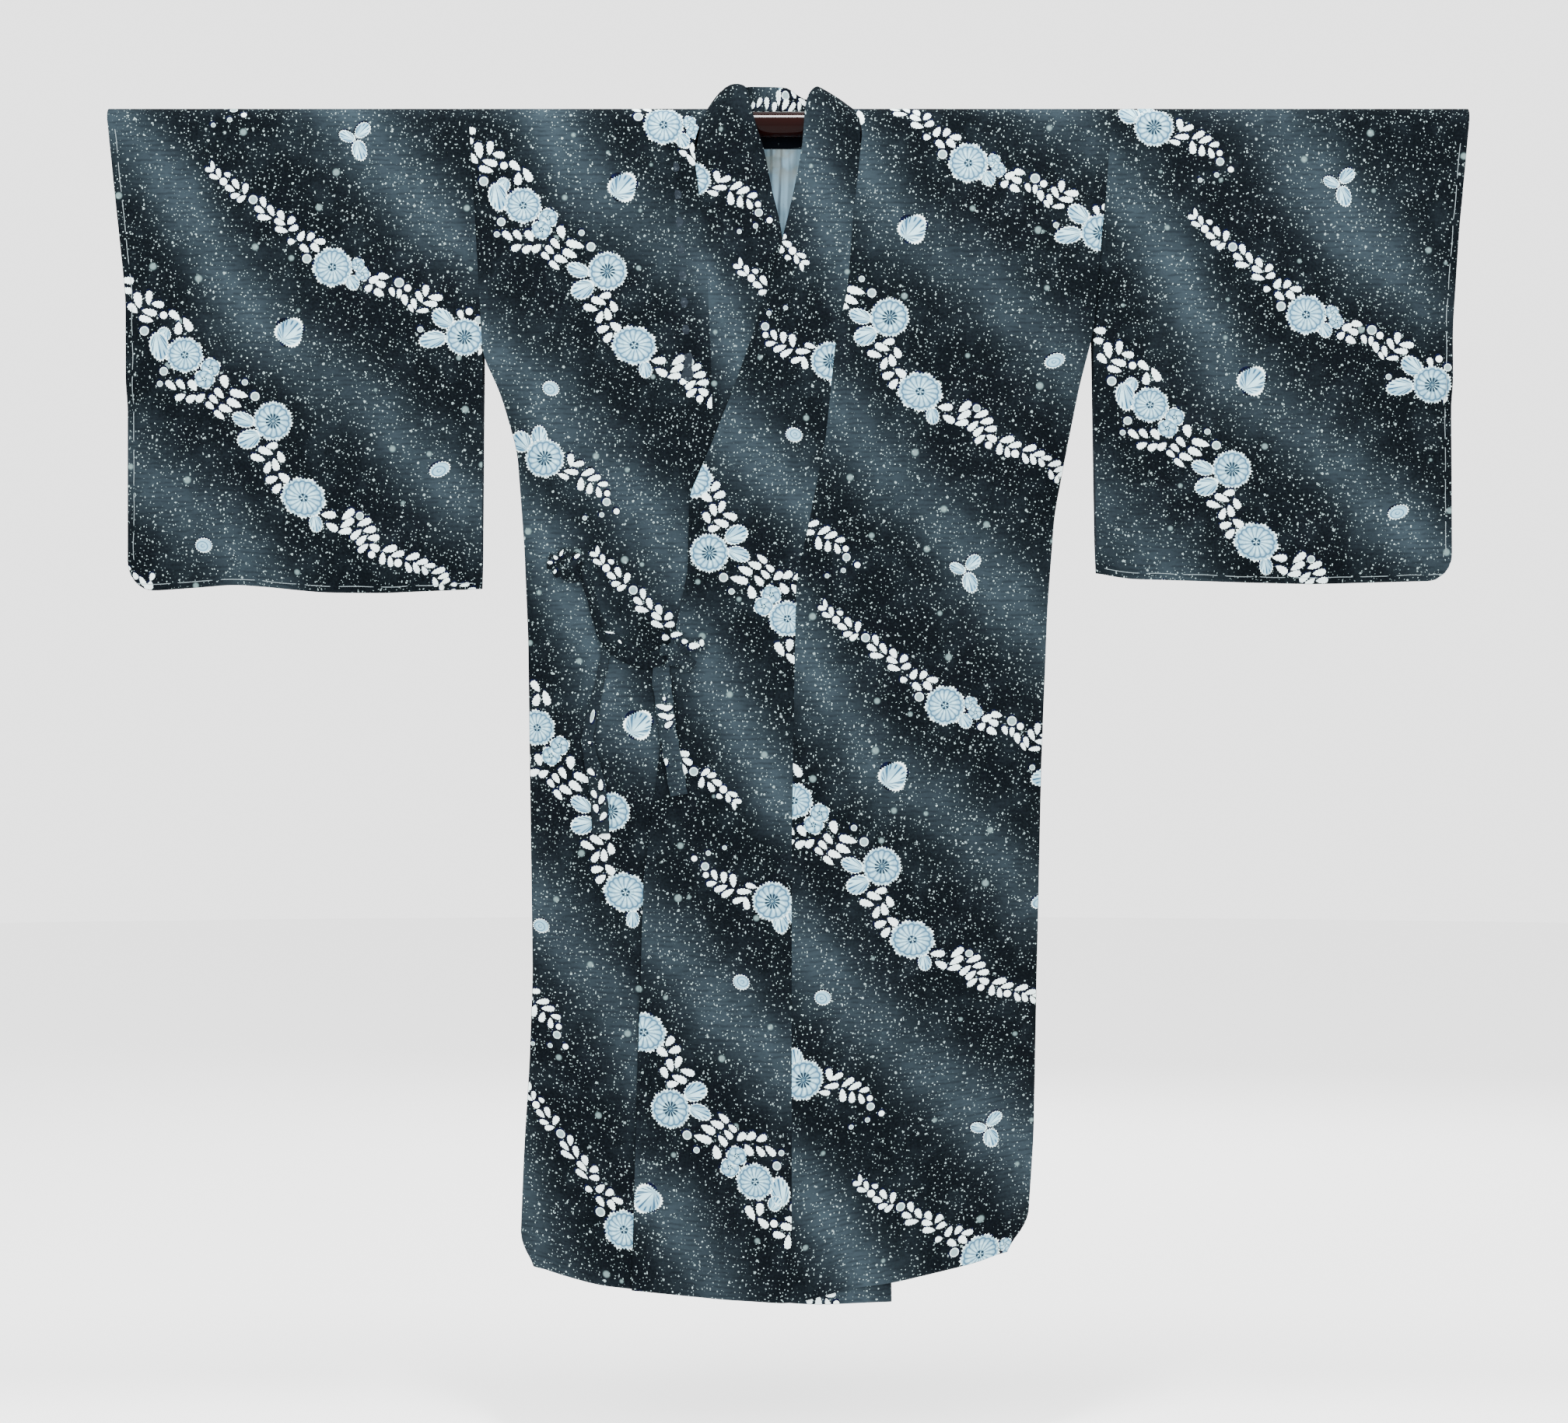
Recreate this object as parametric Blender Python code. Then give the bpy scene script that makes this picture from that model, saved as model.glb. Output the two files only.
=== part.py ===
"""Kimono coat of the dochugi kind, hung flat over a lacquered rod that runs through its sleeves."""

import math
from collections import namedtuple

import bmesh
import bpy
from mathutils import Vector
from mathutils.bvhtree import BVHTree

# Driving sizes in metres. X runs to the viewer's right, the front faces -Y and Z is up.
# The origin is the middle of the rod's axis. Sides are named after the wearer, so the left
# half of the coat lies at the viewer's right.
ROD_RADIUS = 0.0125
ROD_LENGTH = 1.264
ROD_SIDES = 32
ROD_BEVEL = 0.0012
ROD_CLEARANCE = 0.0008

CLOTH = 0.0018
LINING = 0.0012
TIE = 0.0016
SEAM = 0.0003
OVER_ROD = ROD_RADIUS + ROD_CLEARANCE + CLOTH
QUARTER_TURN = OVER_ROD * math.pi / 2

# The coat's hang: how deep each wall lies in front of or behind the rod's axis.
HANG_DEPTH = 0.0165
SLEEVE_FOOT_DEPTH = 0.0110
SETTLE_DROP = 0.25
LAYER_STEP = CLOTH + 0.0010
EDGE_ROLL = 0.034

# The body is 1.12 m long below the rod at its sides' mean, and its hem bows by the tables.
BODY_LENGTH = 1.12
HEM_BLEND_START = 0.70
CENTRE_BACK = -0.009
NECK_DROP = 0.022
SLEEVE_LENGTH = 0.445
CUFF_END = 0.245
CUFF_CORNER = 0.026
CORNER_SHARE = 0.9
ARMHOLE_CLOSE = 0.055
LINING_DROP = 0.29

BODY_COLUMNS = 10
SLEEVE_COLUMNS = 9
BAND_COLUMNS = 5
LINING_COLUMNS = 4
COLUMN_CROWDING = 1.35

Edge = namedtuple("Edge", "drop x")
Hem = namedtuple("Hem", "x drop")
Fold = namedtuple("Fold", "x_top z_top x_foot z_foot width height")
Rim = namedtuple("Rim", "x y z")
Route = namedtuple("Route", "x z width")
Lobe = namedtuple("Lobe", "degrees reach spread")

# Outer edge of each body half: sleeve seam down to the armhole's foot, then the side seam.
BODY_SIDE = {
    "right": (
        Edge(0.0, -0.3060), Edge(0.2228, -0.2933), Edge(0.2564, -0.2777), Edge(0.2862, -0.2687),
        Edge(0.3161, -0.2605), Edge(0.4057, -0.2538), Edge(0.4952, -0.2500), Edge(0.8236, -0.2456),
        Edge(0.9132, -0.2486), Edge(1.0028, -0.2538), Edge(1.0970, -0.2575), Edge(1.1200, -0.2430),
    ),
    "left": (
        Edge(0.0, 0.3112), Edge(0.2004, 0.2933), Edge(0.2564, 0.2799), Edge(0.3161, 0.2680),
        Edge(0.3758, 0.2568), Edge(0.4650, 0.2500), Edge(0.6146, 0.2441), Edge(0.8236, 0.2396),
        Edge(1.0028, 0.2366), Edge(1.0900, 0.2314), Edge(1.1200, 0.2090),
    ),
}

# Seam between each front panel and its band, from the shoulder line to the hem.
BAND_SEAM = {
    "right": (
        Edge(-OVER_ROD, -0.0918), Edge(0.0922, -0.0829), Edge(0.1273, -0.0784), Edge(0.2265, -0.0739),
        Edge(0.3300, -0.0710), Edge(0.5000, -0.0630), Edge(0.8000, -0.0560), Edge(1.1200, -0.0522),
    ),
    "left": (
        Edge(-OVER_ROD, 0.0739), Edge(0.0011, 0.0717), Edge(0.0899, 0.0627), Edge(0.1601, 0.0575),
        Edge(0.2071, 0.0463), Edge(0.3012, 0.0366), Edge(0.3855, 0.0202), Edge(0.4393, 0.0082),
        Edge(0.5401, 0.0060), Edge(0.7000, 0.0037), Edge(1.1200, 0.0037),
    ),
}

# Free edge of each band below the shoulder: the neckline, then the front edge down to the hem.
BAND_FREE = {
    "right": (
        Edge(0.0198, -0.0269), Edge(0.0944, -0.0082), Edge(0.1235, -0.0040), Edge(0.2000, 0.0120),
        Edge(0.2500, 0.0280), Edge(0.3100, 0.0500), Edge(0.3600, 0.0640), Edge(0.4300, 0.0690),
        Edge(0.5200, 0.0800), Edge(0.6300, 0.0880), Edge(0.8500, 0.0950), Edge(1.1200, 0.0993),
    ),
    "left": (
        Edge(0.0243, 0.0157), Edge(0.1235, -0.0075), Edge(0.1467, -0.0149), Edge(0.1982, -0.0313),
        Edge(0.2474, -0.0485), Edge(0.3109, -0.0739), Edge(0.3572, -0.0940), Edge(0.4303, -0.0955),
        Edge(0.4803, -0.1060), Edge(0.5177, -0.1127), Edge(0.6296, -0.1254), Edge(0.7266, -0.1381),
        Edge(0.9125, -0.1441), Edge(1.1200, -0.1497),
    ),
}

# Top edge of the standing collar, station by station from below the shoulder to the centre back.
COLLAR_TOP = {
    "right": (
        Rim(-0.0231, -0.0158, -0.0280), Rim(-0.0310, -0.0160, -0.0020), Rim(-0.0343, -0.0157, 0.0100),
        Rim(-0.0365, -0.0142, 0.0210), Rim(-0.0390, -0.0107, 0.0295), Rim(-0.0410, -0.0050, 0.0345),
        Rim(-0.0425, 0.0005, 0.0360), Rim(-0.0430, 0.0060, 0.0360), Rim(-0.0420, 0.0105, 0.0355),
        Rim(-0.0390, 0.0140, 0.0350), Rim(-0.0340, 0.0165, 0.0345), Rim(-0.0270, 0.0178, 0.0340),
        Rim(-0.0180, 0.0180, 0.0340), Rim(CENTRE_BACK, 0.0180, 0.0340),
    ),
    "left": (
        Rim(0.0132, -0.0158, -0.0280), Rim(0.0157, -0.0160, -0.0020), Rim(0.0165, -0.0157, 0.0100),
        Rim(0.0195, -0.0142, 0.0210), Rim(0.0235, -0.0107, 0.0295), Rim(0.0270, -0.0050, 0.0338),
        Rim(0.0295, 0.0005, 0.0340), Rim(0.0298, 0.0060, 0.0320), Rim(0.0280, 0.0105, 0.0290),
        Rim(0.0240, 0.0140, 0.0250), Rim(0.0180, 0.0165, 0.0225), Rim(0.0090, 0.0178, 0.0265),
        Rim(0.0000, 0.0180, 0.0325), Rim(CENTRE_BACK, 0.0180, 0.0340),
    ),
}
COLLAR_CROWN = {"right": 0.0080, "left": 0.0015}

# Hem drops below the rod across each layer.
FRONT_HEM = {
    "right": (
        Hem(-0.2430, 1.1000), Hem(-0.1814, 1.1170), Hem(-0.1500, 1.1205), Hem(-0.0600, 1.1300),
        Hem(0.0276, 1.1357), Hem(0.0993, 1.1327),
    ),
    "left": (
        Hem(-0.1500, 1.1215), Hem(-0.0620, 1.1305), Hem(0.0037, 1.1345), Hem(0.0280, 1.1285),
        Hem(0.0600, 1.1195), Hem(0.0993, 1.1147), Hem(0.1769, 1.0960), Hem(0.2090, 1.0860),
    ),
}
BACK_HEM = {
    "right": (Hem(-0.2430, 1.0960), Hem(-0.1500, 1.1080), Hem(CENTRE_BACK, 1.1160)),
    "left": (Hem(CENTRE_BACK, 1.1160), Hem(0.1000, 1.1080), Hem(0.2090, 1.0820)),
}

# Sleeves: the seam side, the cuff side and the foot.
SLEEVE_INNER = {
    "right": (Edge(0.0, -0.3060), Edge(0.2228, -0.2933), Edge(0.4500, -0.2948)),
    "left": (Edge(0.0, 0.3112), Edge(0.2004, 0.2933), Edge(0.4500, 0.2971)),
}
SLEEVE_OUTER = {
    "right": (Edge(-OVER_ROD, -0.6546), Edge(0.1668, -0.6359), Edge(0.4500, -0.6359)),
    "left": (Edge(-OVER_ROD, 0.6553), Edge(0.1070, 0.6441), Edge(0.1967, 0.6385), Edge(0.4500, 0.6400)),
}
SLEEVE_FOOT = {
    "right": (
        Hem(-0.6359, 0.4440), Hem(-0.5098, 0.4453), Hem(-0.4501, 0.4504), Hem(-0.3904, 0.4512),
        Hem(-0.2948, 0.4475),
    ),
    "left": (
        Hem(0.2963, 0.4320), Hem(0.3262, 0.4378), Hem(0.4456, 0.4415), Hem(0.5053, 0.4430),
        Hem(0.6400, 0.4393),
    ),
}

# Folds, one row each: a ridge where height is above zero and a trough where it is below.
UNDER_FRONT_FOLDS = (
    Fold(-0.2880, -0.2500, -0.1780, -0.3700, 0.020, 0.0042),
    Fold(-0.1780, -0.3700, -0.1250, -0.4700, 0.016, 0.0034),
    Fold(-0.2600, -0.2700, -0.1650, -0.3950, 0.013, -0.0030),
    Fold(-0.2550, -0.3300, -0.1600, -0.4450, 0.018, 0.0030),
    Fold(-0.2100, -0.2000, -0.1300, -0.3500, 0.022, 0.0026),
    Fold(-0.1060, -0.0300, -0.0930, -0.2000, 0.012, -0.0026),
    Fold(-0.1300, -0.0300, -0.1200, -0.2200, 0.016, 0.0022),
    Fold(-0.2200, -0.5600, -0.2150, -1.0800, 0.020, 0.0026),
    Fold(-0.1850, -0.6200, -0.1750, -1.0600, 0.016, -0.0022),
)
TOP_FRONT_FOLDS = (
    Fold(0.2600, -0.2300, 0.1500, -0.4200, 0.024, 0.0030),
    Fold(0.2200, -0.2200, 0.1300, -0.3600, 0.018, -0.0018),
    Fold(0.1950, -0.4500, 0.2050, -1.0600, 0.026, 0.0028),
    Fold(0.1500, -0.5200, 0.1450, -1.0800, 0.020, -0.0016),
    Fold(0.1000, -0.1500, 0.1050, -0.4200, 0.022, 0.0014),
)
BACK_FOLDS = (
    Fold(-0.2150, -0.3000, -0.2050, -1.0700, 0.022, 0.0040),
    Fold(-0.1650, -0.2600, -0.1580, -1.0800, 0.018, -0.0024),
    Fold(-0.1180, -0.3400, -0.1120, -1.0900, 0.022, 0.0050),
    Fold(-0.0620, -0.4200, -0.0600, -1.1000, 0.018, -0.0022),
    Fold(0.0600, -0.4000, 0.0560, -1.1000, 0.020, 0.0036),
    Fold(0.1080, -0.3000, 0.1020, -1.0900, 0.018, -0.0024),
    Fold(0.1580, -0.2800, 0.1500, -1.0700, 0.024, 0.0048),
    Fold(0.2150, -0.3200, 0.2000, -1.0500, 0.018, -0.0020),
    Fold(-0.2700, -0.2100, -0.1500, -0.3800, 0.022, 0.0030),
    Fold(0.2700, -0.2000, 0.1600, -0.3900, 0.024, 0.0034),
)
SLEEVE_FOLDS = {
    "right": (
        Fold(-0.4000, -0.0500, -0.3700, -0.3900, 0.030, 0.0018),
        Fold(-0.4900, -0.0700, -0.4800, -0.4000, 0.026, -0.0014),
        Fold(-0.5700, -0.0600, -0.5800, -0.3800, 0.030, 0.0016),
    ),
    "left": (
        Fold(0.3900, -0.0600, 0.3600, -0.3800, 0.028, 0.0018),
        Fold(0.4700, -0.0500, 0.4900, -0.3900, 0.026, -0.0013),
        Fold(0.5600, -0.0800, 0.5500, -0.4000, 0.030, 0.0016),
    ),
}

# Rows down the walls, as drops below the rod's axis.
FRONT_DROPS = (
    1.120, 1.097, 1.055, 1.000, 0.940, 0.880, 0.8236, 0.765, 0.705, 0.645, 0.590, 0.540, 0.500, 0.465,
    0.430, 0.400, 0.3758, 0.345, 0.3161, 0.2862, 0.2564, 0.2228, 0.2004, 0.165, 0.1273, 0.095, 0.065,
)
SHOULDER_DROP = 0.035
BACK_DROPS = (
    0.050, 0.090, 0.135, 0.170, 0.2004, 0.2228, 0.2564, 0.2862, 0.3161, 0.360, 0.4057, 0.465, 0.540,
    0.6146, 0.690, 0.760, 0.8236, 0.9132, 1.0028, 1.055, 1.0970, 1.120,
)
SLEEVE_DROPS = (
    0.445, 0.4385, 0.428, 0.412, 0.385, 0.345, 0.300, 0.262, 0.2228, 0.2004, 0.1668, 0.107, 0.050,
)
NECK_ANGLES = (7.5, 15.0, 23.0, 31.0, 45.0, 60.0, 75.0, 90.0)
ARC_STEPS = 4

# Ties: routes down their middle lines, at real width.
TIE_GAP = 0.0006
TIE_COLUMNS = 2
TIE_STEPS = 3
TIE_CROWN = 0.0006
SAMPLE_REACH = 0.0050
TIE_END_SHORT = (
    Route(-0.1730, -0.5020, 0.009), Route(-0.1780, -0.5250, 0.008), Route(-0.1830, -0.5480, 0.008),
    Route(-0.1880, -0.5700, 0.010), Route(-0.1920, -0.5920, 0.011), Route(-0.1890, -0.6120, 0.013),
    Route(-0.1840, -0.6320, 0.015), Route(-0.1810, -0.6560, 0.016), Route(-0.1800, -0.6830, 0.016),
)
TIE_END_LONG = (
    Route(-0.1210, -0.5140, 0.014), Route(-0.1215, -0.5320, 0.017), Route(-0.1190, -0.5550, 0.017),
    Route(-0.1160, -0.5800, 0.016), Route(-0.1120, -0.6030, 0.016), Route(-0.1080, -0.6260, 0.016),
    Route(-0.1045, -0.6460, 0.017),
)
TIE_ACROSS = (
    Route(-0.2030, -0.4250, 0.010), Route(-0.1950, -0.4370, 0.009), Route(-0.1890, -0.4560, 0.008),
    Route(-0.1830, -0.4760, 0.009), Route(-0.1750, -0.4930, 0.014), Route(-0.1600, -0.5060, 0.018),
    Route(-0.1420, -0.5150, 0.018), Route(-0.1260, -0.5150, 0.015), Route(-0.1130, -0.5090, 0.012),
)
KNOT_RINGS = 4
KNOT_SPOKES = 28
KNOT_GAP = 0.0004
SIDE_KNOT_CENTRE = (-0.2080, -0.4265)
SIDE_KNOT_LOBES = (
    Lobe(172.0, 0.0170, 30.0), Lobe(98.0, 0.0115, 28.0), Lobe(20.0, 0.0080, 26.0),
    Lobe(-62.0, 0.0110, 30.0), Lobe(-125.0, 0.0080, 24.0),
)
EDGE_KNOT_CENTRE = (-0.1085, -0.5085)
EDGE_KNOT_LOBES = (
    Lobe(76.0, 0.0130, 24.0), Lobe(18.0, 0.0250, 22.0), Lobe(-45.0, 0.0170, 26.0),
    Lobe(172.0, 0.0060, 30.0),
)
KNOT_CORE = 0.0095
KNOT_HEIGHT = 0.0085

# Plain colours of the solids: near-black blue cloth, pale lining and brown-red lacquer.
CLOTH_COLOUR = (0.020, 0.026, 0.034)
SMOKE_COLOUR = (0.075, 0.095, 0.115)
LINING_COLOUR = (0.62, 0.66, 0.70)
LACQUER_COLOUR = (0.090, 0.022, 0.018)


def clear_scene():
    """Remove every object that the file starts with."""
    for item in list(bpy.data.objects):
        bpy.data.objects.remove(item, do_unlink=True)


def plain_material(name, colour, roughness, metallic=0.0):
    """Make a Principled material of one colour."""
    material = bpy.data.materials.new(name)
    material.use_nodes = True
    shader = material.node_tree.nodes["Principled BSDF"]
    shader.inputs["Base Color"].default_value = (*colour, 1.0)
    shader.inputs["Roughness"].default_value = roughness
    shader.inputs["Metallic"].default_value = metallic
    material.diffuse_color = (*colour, 1.0)
    return material


def ramp(value, start, end):
    """Rise smoothly from 0 at start to 1 at end."""
    share = min(max((value - start) / (end - start), 0.0), 1.0)
    return share * share * (3.0 - 2.0 * share)


def lookup(table, value):
    """Read the second column of a table at a value of its first, straight between rows."""
    if value <= table[0][0]:
        return table[0][1]
    for low, high in zip(table, table[1:]):
        if value <= high[0]:
            share = (value - low[0]) / (high[0] - low[0])
            return low[1] + (high[1] - low[1]) * share
    return table[-1][1]


def relief(folds, x, z):
    """Height of all the folds at a place on a wall."""
    total = 0.0
    place = Vector((x, z))
    for fold in folds:
        start = Vector((fold.x_top, fold.z_top))
        run = Vector((fold.x_foot, fold.z_foot)) - start
        share = min(max((place - start).dot(run) / run.length_squared, 0.0), 1.0)
        gap = (place - start - run * share).length / fold.width
        total += fold.height * math.exp(-gap * gap)
    return total


def closed_depth(depth, edge_distance, amount):
    """Depth of a wall that rolls in to meet the wall behind it at a sewn edge."""
    edge = CLOTH + SEAM / 2
    rolled = edge + (depth - edge) * math.sin(min(max(edge_distance, 0.0) / EDGE_ROLL, 1.0) * math.pi / 2)
    return depth + (rolled - depth) * amount


def hem_z(hem, x, drop):
    """Height of a row of the body: level above, and drawn to the bowed hem lower down."""
    reach = (lookup(hem, x) - BODY_LENGTH) * ramp(drop, HEM_BLEND_START, BODY_LENGTH)
    return -(drop + reach)


def side_amount(half, drop):
    """How far the side seam has closed: 0 along the armhole, 1 below it."""
    foot = {"right": 0.2228, "left": 0.2004}[half]
    return ramp(drop, foot, foot + ARMHOLE_CLOSE)


def front_depth(half, x, z):
    """Depth of the front's outer face, with the right half one layer further in."""
    depth = OVER_ROD + (HANG_DEPTH - OVER_ROD) * ramp(-z, 0.0, SETTLE_DROP)
    if half == "right":
        depth -= LAYER_STEP * ramp(-z, 0.02, 0.11)
        clear_of_top = ramp(lookup(BAND_FREE["left"], -z) - x, 0.004, 0.035)
        return depth + relief(UNDER_FRONT_FOLDS, x, z) * clear_of_top * ramp(-z, 0.0, 0.05)
    return depth + relief(TOP_FRONT_FOLDS, x, z) * ramp(-z, 0.0, 0.05) * ramp(x, 0.03, 0.09)


def back_depth(x, z):
    """Depth of the back's outer face."""
    depth = OVER_ROD + (HANG_DEPTH - OVER_ROD) * ramp(-z, 0.0, SETTLE_DROP)
    return depth + relief(BACK_FOLDS, x, z) * ramp(-z, 0.05, 0.30)


def over_rod(x, path):
    """Outer point and inward direction where the cloth bends over the rod."""
    angle = path / OVER_ROD
    outward = Vector((0.0, math.sin(angle), math.cos(angle)))
    return Vector((x, 0.0, 0.0)) + outward * OVER_ROD, -outward


def body_point(half, x, path, side_x):
    """Outer point and inward direction of a body half, path metres from the shoulder line.

    The path is negative down the front and positive down the back.
    """
    if abs(path) <= QUARTER_TURN:
        return over_rod(x, path)
    drop = abs(path) - QUARTER_TURN
    amount = side_amount(half, drop)
    edge_distance = abs(side_x - x)
    if path < 0.0:
        z = hem_z(FRONT_HEM[half], x, drop)
        depth = closed_depth(front_depth(half, x, z), edge_distance, amount)
        return Vector((x, -depth, z)), Vector((0.0, 1.0, 0.0))
    z = hem_z(BACK_HEM[half], x, drop)
    depth = closed_depth(back_depth(x, z), edge_distance, amount)
    return Vector((x, depth, z)), Vector((0.0, -1.0, 0.0))


def neck_station(half, degrees, clearance):
    """Path and X of the neck curve behind the shoulder, a clearance outside its seam line."""
    neck_x = lookup(BAND_SEAM[half], -OVER_ROD)
    reach = abs(neck_x - CENTRE_BACK) + clearance
    angle = math.radians(degrees)
    path = (QUARTER_TURN + NECK_DROP + clearance) * math.sin(angle)
    sign = 1.0 if half == "left" else -1.0
    centre = CENTRE_BACK + sign * SEAM / 2
    x = centre + sign * (reach - SEAM / 2) * math.cos(angle)
    return path, x


def front_paths():
    """Paths of the front rows and the turn over the rod, from the hem to the shoulder line."""
    paths = [-(QUARTER_TURN + drop) for drop in FRONT_DROPS]
    paths.append(-(QUARTER_TURN + SHOULDER_DROP))
    paths.extend(-QUARTER_TURN * (ARC_STEPS - step) / ARC_STEPS for step in range(ARC_STEPS + 1))
    return paths


def path_height(path):
    """Drop below the rod's axis at a path: negative where the cloth bends over the rod."""
    if abs(path) <= QUARTER_TURN:
        return -OVER_ROD * math.cos(path / OVER_ROD)
    return abs(path) - QUARTER_TURN


def body_rows(half):
    """Rows of a body half as path, inner X and outer X, from the front hem to the back hem."""
    sign = 1.0 if half == "left" else -1.0
    rows = []
    for path in front_paths():
        drop = path_height(path)
        seam_x = lookup(BAND_SEAM[half], drop) + sign * SEAM / 2
        rows.append((path, seam_x, lookup(BODY_SIDE[half], drop)))
    for degrees in NECK_ANGLES:
        path, neck_x = neck_station(half, degrees, SEAM / 2)
        rows.append((path, neck_x, lookup(BODY_SIDE[half], path_height(path))))
    for drop in BACK_DROPS:
        centre_x = CENTRE_BACK + sign * SEAM / 2
        rows.append((QUARTER_TURN + drop, centre_x, lookup(BODY_SIDE[half], drop)))
    return rows


def crowded(step, steps):
    """Share across a panel, with its columns closer together towards the outer edge."""
    return 1.0 - (1.0 - step / steps) ** COLUMN_CROWDING


def offset_wall(grid, thickness):
    """Split a grid of (outer point, inward direction) into outer and inner points."""
    outer = [[point for point, _ in row] for row in grid]
    inner = [[point + inward * thickness for point, inward in row] for row in grid]
    return outer, inner


def split_quad(shape, corners, mirrored):
    """Add a quad as two triangles, split from its first corner or, mirrored, from its second."""
    first, second, third, fourth = corners
    if mirrored:
        shape.faces.new((first, second, fourth))
        shape.faces.new((second, third, fourth))
    else:
        shape.faces.new((first, second, third))
        shape.faces.new((first, third, fourth))


def wall(name, outer, inner, material, mirrored_columns=0):
    """Build one closed wall from two grids of points with the same rows and columns."""
    rows = len(outer)
    columns = len(outer[0])
    shape = bmesh.new()
    front = [[shape.verts.new(point) for point in row] for row in outer]
    back = [[shape.verts.new(point) for point in row] for row in inner]
    for r in range(rows - 1):
        for c in range(columns - 1):
            mirrored = c < mirrored_columns
            ahead = (front[r][c], front[r][c + 1], front[r + 1][c + 1], front[r + 1][c])
            behind = (back[r][c], back[r + 1][c], back[r + 1][c + 1], back[r][c + 1])
            split_quad(shape, ahead, mirrored)
            split_quad(shape, behind, mirrored)
    border = [(0, c) for c in range(columns)]
    border += [(r, columns - 1) for r in range(1, rows)]
    border += [(rows - 1, c) for c in range(columns - 2, -1, -1)]
    border += [(r, 0) for r in range(rows - 2, 0, -1)]
    for (r0, c0), (r1, c1) in zip(border, border[1:] + border[:1]):
        split_quad(shape, (front[r1][c1], front[r0][c0], back[r0][c0], back[r1][c1]), False)
    return finish_mesh(name, shape, material)


def finish_mesh(name, shape, material):
    """Turn a closed bmesh into a named, outward facing, smooth shaded object."""
    bmesh.ops.triangulate(shape, faces=[face for face in shape.faces if len(face.verts) == 4])
    if shape.calc_volume(signed=True) < 0.0:
        bmesh.ops.reverse_faces(shape, faces=shape.faces[:])
    mesh = bpy.data.meshes.new(name)
    shape.to_mesh(mesh)
    shape.free()
    mesh.shade_smooth()
    mesh.set_sharp_from_angle(angle=math.radians(40.0))
    item = bpy.data.objects.new(name, mesh)
    item.data.materials.append(material)
    bpy.context.scene.collection.objects.link(item)
    return item


def body_grid(half):
    """Outer points and inward directions of a body half, front hem to back hem."""
    seam = SEAM / 2 * (1.0 if half == "left" else -1.0)
    grid = []
    for path, inner_x, outer_x in body_rows(half):
        edge_x = outer_x - seam
        row = []
        for step in range(BODY_COLUMNS + 1):
            x = inner_x + (edge_x - inner_x) * crowded(step, BODY_COLUMNS)
            row.append(body_point(half, x, path, edge_x))
        grid.append(row)
    return grid


def make_body(half, material):
    """Build one body half: front, over the shoulder and back in one length of cloth."""
    outer, inner = offset_wall(body_grid(half), CLOTH)
    return wall("body_" + half, outer, inner, material)


def band_front_rows(half):
    """Rows of a band down the front, from the hem up to the foot of the collar."""
    sign = 1.0 if half == "left" else -1.0
    grid = []
    for drop in FRONT_DROPS:
        seam_x = lookup(BAND_SEAM[half], drop) - sign * SEAM / 2
        free_x = lookup(BAND_FREE[half], drop)
        row = []
        for step in range(BAND_COLUMNS + 1):
            x = seam_x + (free_x - seam_x) * step / BAND_COLUMNS
            z = hem_z(FRONT_HEM[half], x, drop)
            row.append(Vector((x, -front_depth(half, x, z), z)))
        grid.append(row)
    return grid


def collar_rows(half):
    """Rows of the standing collar, from the shoulder round to the centre back."""
    sign = 1.0 if half == "left" else -1.0
    feet = []
    for path in front_paths()[len(FRONT_DROPS):]:
        foot_x = lookup(BAND_SEAM[half], path_height(path)) - sign * SEAM / 2
        feet.append(body_point(half, foot_x, path, lookup(BODY_SIDE[half], 0.0))[0])
    for degrees in NECK_ANGLES:
        path, foot_x = neck_station(half, degrees, -SEAM / 2)
        feet.append(body_point(half, foot_x, path, lookup(BODY_SIDE[half], 0.0))[0])
    grid = []
    for station, (foot, rim) in enumerate(zip(feet, COLLAR_TOP[half])):
        top = Vector((rim.x, rim.y, rim.z))
        if station == len(feet) - 1:
            top.x = foot.x
        turn = math.sin(math.pi * min(station / 10.0, 1.0))
        row = []
        for step in range(BAND_COLUMNS + 1):
            share = step / BAND_COLUMNS
            lift = COLLAR_CROWN[half] * 4.0 * share * (1.0 - share) * turn
            row.append(foot.lerp(top, share) + Vector((0.0, 0.0, lift)))
        grid.append(row)
    return grid


def grid_inward(grid, r, c, sign):
    """Direction into the cloth at a point of a grid, square to the surface."""
    rows = len(grid)
    columns = len(grid[0])
    along = grid[min(r + 1, rows - 1)][c] - grid[max(r - 1, 0)][c]
    across = grid[r][min(c + 1, columns - 1)] - grid[r][max(c - 1, 0)]
    return along.cross(across).normalized() * sign


def make_band(half, material):
    """Build one band: the front overlap and half of the collar in one strip."""
    front = band_front_rows(half)
    collar = collar_rows(half)
    grid = front + collar
    sign = -1.0 if half == "left" else 1.0
    shaped = []
    for r, row in enumerate(grid):
        turn = ramp(r, len(front) - 2, len(front) + 3)
        shaped_row = []
        for c, point in enumerate(row):
            square = grid_inward(grid, r, c, sign)
            inward = Vector((0.0, 1.0, 0.0)).lerp(square, turn).normalized()
            if r == len(grid) - 1:
                inward.x = 0.0
                inward.normalize()
            shaped_row.append((point, inward))
        shaped.append(shaped_row)
    outer, inner = offset_wall(shaped, CLOTH)
    return wall("band_" + half, outer, inner, material)


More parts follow.
